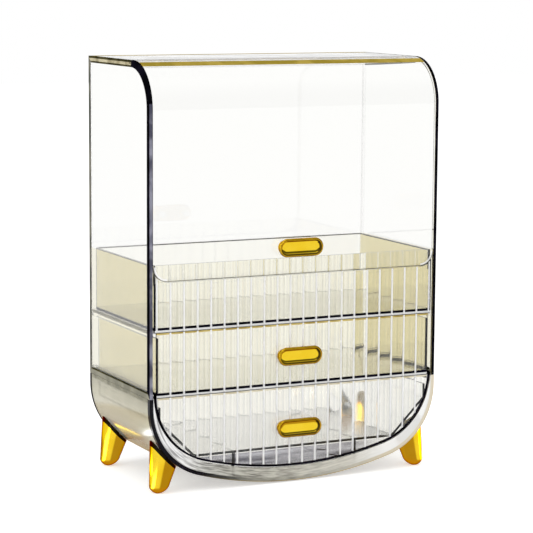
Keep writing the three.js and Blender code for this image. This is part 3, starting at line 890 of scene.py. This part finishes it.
# %% [markdown]
# ## The upper tray
#
# The tray's front has two levels. Below, it is flush with the drawers. Above a ledge it steps back
# behind the lid's front pane, so that the lid laps over a fluted lip. The front plate is made to the
# full height, the lid's room with its round corners is cut out of it, and the lip, the ledge and the
# tub are joined on.
#
# Its front ends in a band of painted highlight with dashes of painted shade above it, where the
# tray's floor meets the plate. The sides of the tub have the deeper tint, with a dark line of painted
# shade at the floor, and the rim gets painted grey shade.

# %% Upper tray
clear, groove, grey, crown, tinted, dark, painted_highlight = range(7)
dash_lift, dash_top, floor_line, rim_band = 0.0003, 0.0024, 0.0020, 0.0009
lid_clearance, room_clearance, ledge_height, lip_cut = 0.0006, 0.0004, 0.0027, 0.0012
tray_low, tray_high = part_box("upper_tray")
tray_half, rim = tray_high.x, tray_high.z
tray_floor = shelf_high.z + joint_gap
lip_front = front + wall + lid_clearance
lip_back = lip_front + box_wall
ledge_top = lid_low.z - front_gap
ledge = ledge_top - ledge_height
dash_low, dash_high = tray_floor + dash_lift, tray_floor + dash_top
tray_plate = block((-tray_half, front, tray_low.z), (tray_half, front + wall, rim))
slice_at(tray_plate, 2, (dash_low, dash_high))
groove_front(tray_plate, front, tray_half)
room_half = inner + room_clearance
lid_room = block((-room_half, front - overrun, ledge_top), (room_half, lip_front, rim + overrun))
round_off(lid_room, rearward_edges(lid_room, ledge_top), "EDGES", pane_corner + front_gap, 12)
tray_plate = combine(tray_plate, lid_room, "DIFFERENCE")
tray_lip = block((-tray_half, lip_front, ledge), (tray_half, lip_back, rim))
groove_front(tray_lip, lip_front, tray_half)
tray_ledge = block((-tray_half, box_front, ledge), (tray_half, lip_back, ledge_top))
tray_tub = tub((-tray_half, box_front, tray_floor), (tray_half, box_back, rim))
ahead = block((-half, front - overrun, ledge_top), (half, lip_front + lip_cut, rim + overrun))
tray_tub = combine(tray_tub, ahead, "DIFFERENCE")
slice_at(tray_tub, 2, (tray_floor + floor_line, rim - rim_band))
tray = combine(combine(combine(tray_tub, tray_ledge), tray_plate), tray_lip)
paint(tray, tinted, lambda centre, normal: abs(normal.x) > squarely and centre.y > lip_front)
# painted highlight band and dashes of painted shade at the foot of the front
paint_flutes(tray, crown, groove, front, (painted_highlight, tray_low.z, dash_low), (dark, dash_low, dash_high))
paint_flutes(tray, crown, clear, lip_front)
paint(tray, grey, lambda centre, normal: centre.z > rim - rim_band and centre.y > lip_back - skin)
paint(tray, grey, lambda centre, normal: normal.z > squarely and centre.z > rim - skin)
paint(tray, dark, lambda centre, normal: abs(normal.x) > squarely and abs(centre.x) > tray_half - skin
      and (centre.y < front + wall or centre.z < tray_floor + floor_line))
finish("fluted_tray", tray, "housing", "clear_plastic",
       [drawer_plastic, groove_painted_highlight, grey_edge, crown_plastic, side_plastic, dark_edge, painted_highlight_edge],
       "upper_tray")

# %% [markdown]
# ## The middle drawer
#
# The same way in its plainest form: a grooved plate and a tub behind it. Its front has the band of
# painted highlight and the dashes of painted shade at its foot as well, and a painted gold glint along
# its top.

# %% Middle drawer
_, groove, crown, tinted, dark, gold, painted_highlight = range(7)
gold_band, under_rail = 0.0014, 0.0006
middle_low, middle_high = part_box("middle_drawer")
middle_floor, middle_rim = deck_top + joint_gap, shelf_rail_low - under_rail
dash_low, dash_high = middle_floor + dash_lift, middle_floor + dash_top
gold_low = middle_high.z - gold_band
middle_plate = block((middle_low.x, front, middle_low.z), (middle_high.x, front + wall, middle_high.z))
slice_at(middle_plate, 2, (dash_low, dash_high, gold_low))
groove_front(middle_plate, front, middle_high.x)
middle_tub = tub((middle_low.x, box_front, middle_floor), (middle_high.x, box_back, middle_rim))
slice_at(middle_tub, 2, (middle_floor + floor_line,))
middle = combine(middle_tub, middle_plate)
paint(middle, tinted, lambda centre, normal: abs(normal.x) > squarely and centre.y > front + wall)
# painted highlight, painted shade dashes and a painted gold glint on the front
paint_flutes(middle, crown, groove, front, (painted_highlight, middle_low.z, dash_low), (dark, dash_low, dash_high),
             (gold, gold_low, middle_high.z))
paint(middle, dark, lambda centre, normal: abs(normal.x) > squarely
      and abs(centre.x) > middle_high.x - skin
      and (centre.y < front + wall or centre.z < middle_floor + floor_line))
finish("fluted_middle_drawer", middle, "middle_drawer", "clear_plastic",
       [drawer_plastic, groove_painted_highlight, crown_plastic, side_plastic, dark_edge, gold_seam_glint, painted_highlight_edge],
       "middle_drawer")

# %% [markdown]
# ## The U outline
#
# The base and the lowest front share a U: straight sides, round corners and a bottom with a slight
# crown. A point at the end of the side is spun round the corner, on round the far centre of the
# crown, and up the other corner. Each spin starts where the last one ended, so the arcs run into
# each other without a kink. A U is written as its half width, its bottom, its top, its corner radius
# and the drop of its bottom, and it can grow or shrink evenly by a distance.


# %% A chain of edges in the shape of a U
def grow_u(shape, by):
    half_width, bottom, top_z, radius, drop = shape
    return half_width + by, bottom - by, top_z, radius + by, drop


def u_chain(bm, shape, y):
    half_width, bottom, top_z, radius, drop = shape
    before = set(bm.edges)
    corner_steps, crown_steps = 30, 24
    corner_x, corner_z = half_width - radius, bottom + drop + radius
    crown = radius + (corner_x ** 2 + drop ** 2) / (2 * drop)
    tilt = math.atan2(corner_x, bottom + crown - corner_z)
    start = bm.verts.new((-half_width, y, top_z))
    end = bm.verts.new((-half_width, y, corner_z))
    bm.edges.new((start, end))
    sweeps = [
        ((-corner_x, y, corner_z), math.pi / 2 - tilt, corner_steps),
        ((0, y, bottom + crown), 2 * tilt, crown_steps),
        ((corner_x, y, corner_z), math.pi / 2 - tilt, corner_steps),
    ]
    for centre, angle, steps in sweeps:
        made = bmesh.ops.spin(bm, geom=[end], cent=centre, axis=(0, -1, 0), angle=angle, steps=steps)
        end = made["geom_last"][0]
    last = bm.verts.new((half_width, y, top_z))
    bm.edges.new((end, last))
    return [edge for edge in bm.edges if edge not in before], start, last


def u_block(shape, y_low, y_high):
    bm = bmesh.new()
    edges, start, last = u_chain(bm, shape, y_low)
    edges.append(bm.edges.new((last, start)))
    bmesh.ops.contextual_create(bm, geom=edges)
    extrude(bm, bm.faces[:], (0, y_high - y_low, 0))
    bmesh.ops.recalc_face_normals(bm, faces=bm.faces)
    return bm


# %% [markdown]
# Several U chains in a row, bridged pair by pair, make a ribbon: a wall, a ring or a whole tub. Each
# station names the U, its place along the depth and the material of the strip up to the next one.


# %% Ribbons between U chains
def u_ribbon(bm, stations):
    chains = [u_chain(bm, shape, y) for shape, y, _ in stations]
    for (_, _, index), (first, *_), (second, *_) in zip(stations, chains, chains[1:]):
        made = bmesh.ops.bridge_loops(bm, edges=first + second)
        for face in made["faces"]:
            face.material_index = index
    return chains


# %% [markdown]
# ## The bottom drawer
#
# Its front is a grooved plate like the others, cut to the U afterwards, so that the grooves run
# straight out at the round corners, with a beige band of painted light along its top. A dark rim of
# painted shade follows the U: a ribbon through four chains that ends where it began. The tub is flat
# in the floor and cut off at the lower corners, so that it clears the corners of the base.

# %% Bottom drawer
_, groove, dark, crown, satin, beige = range(6)
rim_width, rim_overlap, beige_band = 0.0017, 0.0002, 0.0015
bottom_low, bottom_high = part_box("bottom_drawer")
beige_low = bottom_high.z - beige_band
plate_low = (bottom_low.x, front, bottom_low.z - 0.002)
bottom_plate = block(plate_low, (bottom_high.x, front + wall, bottom_high.z))
groove_front(bottom_plate, front, bottom_high.x)
slice_at(bottom_plate, 2, (beige_low,))
outer_rim = (bottom_high.x, bottom_low.z, bottom_high.z, corner_radius, drawer_drop)
inner_rim = grow_u(outer_rim, -rim_width)
tall_rim = (bottom_high.x, bottom_low.z, top, corner_radius, drawer_drop)
front_shape = u_block(grow_u(tall_rim, rim_overlap - rim_width), front - overrun, back)
bottom_plate = combine(bottom_plate, front_shape, "INTERSECT")
tub_inset, tub_lift, tub_height, tub_corner = 0.0058, 0.0298, 0.046, 0.0331
tub_half, tub_floor = inner - tub_inset, floor_gap + tub_lift
bottom_tub = tub((-tub_half, box_front, tub_floor), (tub_half, box_back, tub_floor + tub_height),
                 cut_corner=tub_corner)
bottom = combine(bottom_tub, bottom_plate)
paint(bottom, satin, lambda centre, normal: abs(normal.y) < hardly and centre.y > front + wall)
# painted beige light along the top of the front
paint_flutes(bottom, crown, groove, front, (beige, beige_low, bottom_high.z))
rim_bm = bmesh.new()
rim_back = front + wall - skin
rim_chains = u_ribbon(rim_bm, [
    (outer_rim, front, dark), (inner_rim, front, dark), (inner_rim, rim_back, dark),
    (outer_rim, rim_back, dark), (outer_rim, front, dark),
])
for end in (1, 2):
    rim_bm.faces.new([chain[end] for chain in rim_chains[:4]]).material_index = dark
rim_mesh = bpy.data.meshes.new("work")
rim_bm.to_mesh(rim_mesh)
rim_bm.free()
bottom.from_mesh(rim_mesh)
bpy.data.meshes.remove(rim_mesh)
finish("fluted_bottom_drawer", bottom, "bottom_drawer", "clear_plastic",
       [drawer_plastic, groove_painted_highlight, dark_edge, low_crown_plastic, tub_plastic, beige_seam],
       "bottom_drawer")

# %% [markdown]
# ## The base
#
# The base is a tub in the shape of the U, closed at the back and framed at the front. Ten U chains
# stand one after the other along its surface: up the outside, across the front frame, through the
# opening and along the inside. Bridging each pair gives the walls and, with its material, the ring
# that belongs to it. Three flat faces close the back, the inside of the back and the top rim.

# %% Base
clear, ring, lip, line, side_sheen, dark, seam_grey = range(7)
base_materials = [base_plastic, outer_ring_painted_shading, lip_ring_painted_shading, rim_line_painted_shading, base_side_painted_sheen, dark_edge, seam_edge]
line_width, rear_width, seam_width = 0.0045, 0.0038, 0.0032
line_back, rear_line, seam_line = front + line_width, back - rear_width, seam - seam_width


def base_tub():
    bm = bmesh.new()
    frame_back = front + wall
    frame_side, frame_bottom = 0.0045, 0.0135
    ring_start, lip_start = 0.0008, 0.0034
    outer_u = (half, floor_gap, seam, corner_radius, bottom_drop)
    rim_u, band_u, inner_u = (grow_u(outer_u, -inset) for inset in (ring_start, lip_start, wall))
    drawer_u = (half - frame_side, floor_gap + frame_bottom, seam, corner_radius, drawer_drop)
    opening_u = grow_u(drawer_u, front_gap)
    # painted shade: a dark strip along the rear edge; the front stations carry the ring's painted shading
    chains = u_ribbon(bm, [
        (outer_u, back, dark), (outer_u, rear_line, side_sheen), (outer_u, line_back, line),
        (outer_u, front, line), (rim_u, front, ring), (band_u, front, lip), (opening_u, front, clear),
        (opening_u, frame_back, clear), (inner_u, frame_back, clear), (inner_u, back - wall, clear),
    ])
    for edges, start, last in (chains[0], chains[-1]):
        closing = bm.edges.new((last, start))
        for face in bmesh.ops.contextual_create(bm, geom=edges + [closing])["faces"]:
            face.material_index = clear
    starts = [start for _, start, _ in chains]
    lasts = [last for _, _, last in reversed(chains)]
    bm.faces.new(starts + lasts).material_index = clear
    bmesh.ops.recalc_face_normals(bm, faces=bm.faces)
    return bm


base = base_tub()
print("base faces:", len(base.faces))

# %% [markdown]
# Two runners carry the drawer and two rails carry the deck. Planes cut their outlines out of the
# inner faces, which are then pushed up or inwards. The runners' tops are flattened to one level. A
# last cut gives the grey line under the seam.

# %% Runners and rails of the base
runner_top = tub_floor - joint_gap
runner_x, runner_half, floor_reach, first_lift = 0.060, 0.0015, 0.02, 0.01
rail_top = seam - joint_gap
slice_at(base, 1, (shelf_low.y, rail_front, rail_back))
slice_at(base, 2, (rail_top - rail_height, rail_top))
for side in (-1, 1):
    push_out(base, lambda centre, normal: normal.x * side < -squarely
             and abs(centre.x - side * inner) < 10 * near and rail_front < centre.y < rail_back
             and rail_top - rail_height < centre.z < rail_top, (-side * rail_width, 0, 0))
for side in (-1, 1):
    left_x, right_x = side * runner_x - runner_half, side * runner_x + runner_half
    slice_at(base, 0, (left_x, right_x))
    raised = push_out(base, lambda centre, normal: normal.z > squarely and left_x < centre.x < right_x
                      and shelf_low.y < centre.y < rail_back and centre.z < floor_gap + floor_reach,
                      (0, 0, first_lift))
    for vert in raised:
        vert.co.z = runner_top
slice_at(base, 2, (seam_line,))
paint(base, seam_grey, lambda centre, normal: centre.z > seam_line and abs(normal.x) > squarely
      and line_back < centre.y < rear_line)
finish("u_base", base, "housing", "clear_plastic", base_materials, "base_shell")

# %% [markdown]
# ## The pulls
#
# Each pull is a pill with a dished face. Its profile is a short chain from the back over the waist
# and the rim into the dish. Spun a full turn it is a round knob, and moving its two halves apart
# stretches it into a pill, because no edge of the spin stands on the parting line. The rim gets the
# gold with painted shade. A dark line of painted shade follows it inside the dish at the bottom and
# the right, and is broader at the right end.


# %% Pulls
def pull(name, node, body):
    _, shaded, lined = range(3)
    low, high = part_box(node)
    radius = (high.z - low.z) / 2
    stretch = (high.x - low.x) / 2 - radius
    foot_y, centre_z = front - joint_gap, (high.z + low.z) / 2
    out = foot_y - low.y
    profile = [
        (0, 0), (radius - 0.0022, 0), (radius - 0.0023, out * 0.25), (radius - 0.0015, out * 0.5),
        (radius - 0.0004, out * 0.68), (radius, out * 0.8), (radius - 0.0002, out * 0.91),
        (radius - 0.0007, out * 0.98), (radius - 0.0013, out), (radius - 0.0018, out * 0.985),
        (radius - 0.0022, out * 0.93), (radius - 0.0028, out * 0.84), (radius - 0.0036, out * 0.805),
        (radius - 0.0050, out * 0.79), (0, out * 0.78),
    ]
    steps = 48
    start = math.pi / steps
    along, up = math.cos(start), math.sin(start)
    bm = bmesh.new()
    chain = [bm.verts.new((along * r, foot_y - d, centre_z + up * r)) for r, d in profile]
    edges = [bm.edges.new(pair) for pair in zip(chain, chain[1:])]
    bmesh.ops.spin(bm, geom=chain + edges, cent=(0, 0, centre_z), axis=(0, 1, 0), angle=2 * math.pi,
                   steps=steps, use_merge=True)
    bmesh.ops.remove_doubles(bm, verts=bm.verts, dist=merge_distance)
    for sign in (-1, 1):
        verts = [vert for vert in bm.verts if vert.co.x * sign > skin]
        bmesh.ops.translate(bm, verts=verts, vec=(sign * stretch, 0, 0))
    bmesh.ops.recalc_face_normals(bm, faces=bm.faces)
    rim_start = radius - 0.0019

    def from_middle(centre):
        return math.hypot(max(abs(centre.x) - stretch, 0), centre.z - centre_z)
    # painted shade on the rim and in the dish
    paint(bm, shaded, lambda centre, normal: from_middle(centre) > rim_start)
    paint(bm, lined, lambda centre, normal: radius - 0.0029 < from_middle(centre) < rim_start
          and centre.y < foot_y - out * 0.8 and (normal.z > hardly or normal.x < -hardly))
    paint(bm, lined, lambda centre, normal: radius - 0.0037 < from_middle(centre) < rim_start
          and centre.y < foot_y - out * 0.78 and centre.x > stretch + radius * 0.35)
    post_radius, post_length, post_x, post_y = 0.0022, wall + 0.001, 0.013, front + wall / 2 - 0.0002
    for sign in (-1, 1):
        post = bmesh.ops.create_cone(bm, cap_ends=True, segments=24, radius1=post_radius,
                                     radius2=post_radius, depth=post_length)
        turn = Matrix.Rotation(math.pi / 2, 3, "X")
        bmesh.ops.rotate(bm, verts=post["verts"], cent=(0, 0, 0), matrix=turn)
        bmesh.ops.translate(bm, verts=post["verts"], vec=(sign * post_x, post_y, centre_z))
    finish(name, bm, body, "gold_plating", [gold_plating, shaded_gold, dish_line_painted_shade], node, crease=50)


pull("lid_pull", "lid_handle", "lid")
pull("middle_pull", "middle_drawer_handle", "middle_drawer")
pull("bottom_pull", "bottom_drawer_handle", "bottom_drawer")

# %% [markdown]
# ## The feet
#
# A foot is turned: a small flat pad, a domed toe and a side that flares upward. It is then sheared
# so that it leans out and down, and cut to the round corner of the base with the same U. The saddle
# that this leaves is plain gold.


# %% Feet
def foot(name, node, side_x, side_y):
    _, saddle = range(2)
    pad, toe, dome, height, flare = 0.0028, 0.009, 0.0075, 0.064, 0.178
    lean_x, lean_y, reach = 0.23, 0.05, 0.02
    middle_y, half_depth = (front + back) / 2, (back - front) / 2
    place = Vector((side_x * (half - foot_inset_x), middle_y + side_y * (half_depth - foot_inset_y), 0))
    bm = bmesh.new()
    points = [(0, 0), (pad, 0)]
    first, arc_steps = math.pi / 6, 8
    for step in range(1, arc_steps + 1):
        angle = first + step / arc_steps * (math.pi / 2 - first)
        share = (math.sin(angle) - math.sin(first)) / (1 - math.sin(first))
        points.append((pad + (toe - pad) * share, dome * (1 - math.cos(angle) / math.cos(first))))
    points += [(toe + flare * (height - dome), height), (0, height)]
    chain = [bm.verts.new((r, 0, z)) for r, z in points]
    edges = [bm.edges.new(pair) for pair in zip(chain, chain[1:])]
    bmesh.ops.spin(bm, geom=chain + edges, cent=(0, 0, 0), axis=(0, 0, 1), angle=2 * math.pi, steps=56,
                   use_merge=True)
    bmesh.ops.remove_doubles(bm, verts=bm.verts, dist=merge_distance)
    lean = Matrix.Identity(4)
    lean[0][2], lean[1][2] = -side_x * lean_x, -side_y * lean_y
    bmesh.ops.transform(bm, matrix=lean, verts=bm.verts)
    bmesh.ops.translate(bm, verts=bm.verts, vec=place)
    base_u = (half, floor_gap, top, corner_radius, bottom_drop)
    cut = combine(bm, u_block(grow_u(base_u, joint_gap), front - reach, back + reach), "DIFFERENCE")
    axis_x, axis_z = half - corner_radius, floor_gap + bottom_drop + corner_radius
    paint(cut, saddle, lambda centre, normal: math.hypot(abs(centre.x) - axis_x, centre.z - axis_z)
          < corner_radius + joint_gap + 2 * skin)
    finish(name, cut, "housing", "gold_plating", [foot_gold, gold_plating], node, crease=35)


for where, side_x, side_y in (("front_left", -1, -1), ("front_right", 1, -1), ("rear_left", -1, 1),
                              ("rear_right", 1, 1)):
    foot(f"{where}_turned_foot", f"{where}_foot", side_x, side_y)

# %% [markdown]
# ## Screws and pins
#
# These small parts keep their measured shape and only take the steel.

# %% Steel parts
steel_parts = [row["node"] for row in frame["record"]["subparts"] if row["material_slot"] == "steel"]
for name in steel_parts:
    nodes[name].data.materials.clear()
    nodes[name].data.materials.append(turned_steel)
print("steel parts:", len(steel_parts))

# %% [markdown]
# ## Floor
#
# The floor is white and keeps the shadow. The camera and the light that passes through the plastic
# see it evenly bright. In a mirror it shows painted light and shade of its own, because gold needs
# light and dark to reflect: a glowing painted highlight straight outwards from a foot, grey beside
# that, painted shade in brown at the toe and under the object, and grey farther off. The angle around
# the nearest foot drives those tones, so they run along the cone of the foot.

# %% Floor
floor_mesh = bpy.data.meshes.new("floor")
floor_bm = bmesh.new()
bmesh.ops.create_grid(floor_bm, x_segments=1, y_segments=1, size=6)
floor_bm.to_mesh(floor_mesh)
floor_bm.free()
floor = bpy.data.objects.new("floor", floor_mesh)
scene.collection.objects.link(floor)
floor_paint, floor_tree, floor_shader = principled("floor_paint", {
    "Roughness": 0.9, "Specular IOR Level": 0.0,
})
floor_mesh.materials.append(floor_paint)
floor_x, floor_y, _ = axis_nodes(floor_tree)
toe_low, toe_high, shade_low, shade_high = 0.0100, 0.0220, 0.1394, 0.1697
rear_start = -0.015
foot_side, foot_depth = half - foot_inset_x, (back - front) / 2 - foot_inset_y
front_foot_y = (front + back) / 2 - foot_depth
aside = math_node(floor_tree, "SUBTRACT", math_node(floor_tree, "ABSOLUTE", floor_x), foot_side)
rearward = math_node(floor_tree, "GREATER_THAN", floor_y, rear_start)
nearest = math_node(floor_tree, "MULTIPLY_ADD", rearward, 2 * foot_depth, front_foot_y)
along = math_node(floor_tree, "SUBTRACT", floor_y, nearest)
angle = math_node(floor_tree, "ARCTAN2", along, aside)
around = math_node(floor_tree, "MULTIPLY_ADD", angle, 0.5 / math.pi, 0.5)
# painted reflection tones: a glowing painted highlight outwards from each foot, painted shade beside
painted_foot_glints = ramp_node(floor_tree, around, [
    (0.0, (0.10, 0.072, 0.036)), (0.27, (0.10, 0.074, 0.040)), (0.31, (0.20, 0.19, 0.15)),
    (0.435, (0.22, 0.21, 0.18)), (0.462, (0.9, 0.9, 0.9)), (0.538, (0.9, 0.9, 0.9)),
    (0.575, (0.20, 0.19, 0.15)), (0.64, (0.11, 0.08, 0.045)),
])
distance = distance_node(floor_tree, aside, along)
off_toe = range_node(floor_tree, distance, toe_low, toe_high, 0.0, 1.0)
far_off = range_node(floor_tree, distance, shade_low, shade_high, 0.0, 1.0)
painted_reflection_tones = blend_node(floor_tree, off_toe, (0.115, 0.07, 0.03), painted_foot_glints)
painted_reflection_tones = blend_node(floor_tree, far_off, painted_reflection_tones, (0.2, 0.2, 0.2))

# %% [markdown]
# Which of the two a ray sees depends on its kind. A ray that passes through sharp plastic counts as
# glossy too, so only glossy rays that aren't transmitted are the mirror's.

# %% What each ray sees of the floor
seen_glow, painted_reflection_glow = 0.5, 5.0
floor_path = floor_tree.nodes.new("ShaderNodeLightPath")
seen, passed = floor_path.outputs["Is Camera Ray"], floor_path.outputs["Is Transmission Ray"]
mirrored = math_node(floor_tree, "SUBTRACT", floor_path.outputs["Is Glossy Ray"], passed, clamp=True)
indirect = math_node(floor_tree, "MAXIMUM", mirrored, passed)
direct_glow = math_node(floor_tree, "MULTIPLY_ADD", seen, seen_glow, passed)
reflected_glow = math_node(floor_tree, "MULTIPLY", mirrored, painted_reflection_glow)
glow = math_node(floor_tree, "MAXIMUM", direct_glow, reflected_glow)
glow_color = blend_node(floor_tree, mirrored, white, painted_reflection_tones)
floor_color = blend_node(floor_tree, indirect, (0.82, 0.82, 0.82), (0.0, 0.0, 0.0))
feed(floor_tree, floor_color, floor_shader.inputs["Base Color"])
feed(floor_tree, glow_color, floor_shader.inputs["Emission Color"])
feed(floor_tree, glow, floor_shader.inputs["Emission Strength"])
print("floor:", floor.name)

# %% [markdown]
# ## World and lamps
#
# The world is white for the camera and for what passes through the plastic. In reflections it has a
# bright and a dark side, like a studio with a lit far wall, and matt surfaces get a light grey.

# %% World
world = bpy.data.worlds.new("studio")
scene.world = world
world.use_nodes = True
world_tree = world.node_tree
background = world_tree.nodes["Background"]
path = world_tree.nodes.new("ShaderNodeLightPath")
sky_place = world_tree.nodes.new("ShaderNodeTexCoord")
toward = world_tree.nodes.new("ShaderNodeVectorMath")
toward.operation = "DOT_PRODUCT"
toward.inputs[1].default_value = (-0.62, 0.72, 0.31)
feed(world_tree, sky_place.outputs["Generated"], toward.inputs[0])
lit_share = math_node(world_tree, "MULTIPLY_ADD", toward.outputs["Value"], 0.5, 0.5)
studio = ramp_node(world_tree, lit_share, [(0.12, (0.10, 0.10, 0.10)), (0.34, white)])
reflected = blend_node(world_tree, path.outputs["Is Glossy Ray"], (0.88, 0.88, 0.88), studio)
straight = math_node(world_tree, "MAXIMUM", path.outputs["Is Camera Ray"],
                     path.outputs["Is Transmission Ray"])
feed(world_tree, blend_node(world_tree, straight, reflected, white), background.inputs["Color"])
background.inputs["Strength"].default_value = 1.0
print("world:", world.name)


# %% [markdown]
# One broad lamp overhead and two strips give the gold and the edges their highlights.


# %% Lamps
def lamp(name, width, height, power, place, target):
    data = bpy.data.lights.new(name, "AREA")
    data.shape = "RECTANGLE"
    data.size, data.size_y = width, height
    data.energy = power
    light = bpy.data.objects.new(name, data)
    light.location = place
    light.rotation_euler = (Vector(target) - Vector(place)).to_track_quat("-Z", "Y").to_euler()
    scene.collection.objects.link(light)
    print(name, power, "W")


lamp("broad_overhead", 1.6, 1.6, 6, (-0.5, -0.6, 1.9), (0, 0, 0.1))
lamp("left_strip", 0.10, 1.2, 3, (-1.3, -0.35, 0.5), (0, 0, 0.2))
lamp("front_strip", 0.08, 1.0, 2, (-0.2, -1.8, 0.9), (0, 0, 0.15))

# %% [markdown]
# ## Camera
#
# The camera stands where the photograph was taken from: turned 26 degrees to the left, 8 degrees
# up and about 1.9 m away. Its axes are built from those three angles.

# %% Camera
camera_place = (-0.832, -1.693, 0.450)
turn, rise, roll = math.radians(-26.22), math.radians(8.05), math.radians(0.38)
view = Vector((-math.sin(turn) * math.cos(rise), math.cos(turn) * math.cos(rise), -math.sin(rise)))
level = Vector((math.cos(turn), math.sin(turn), 0))
upward = level.cross(view)
right_axis = math.cos(roll) * level + math.sin(roll) * upward
up_axis = -math.sin(roll) * level + math.cos(roll) * upward
camera_data = bpy.data.cameras.new("camera")
camera = bpy.data.objects.new("camera", camera_data)
scene.collection.objects.link(camera)
facing = Matrix((right_axis, up_axis, -view)).transposed().to_4x4()
camera.matrix_world = Matrix.Translation(camera_place) @ facing
camera_data.lens = 143
camera_data.sensor_width = 36
scene.camera = camera
scene.view_settings.view_transform = "Standard"
print("camera at", [round(part, 3) for part in camera.location])
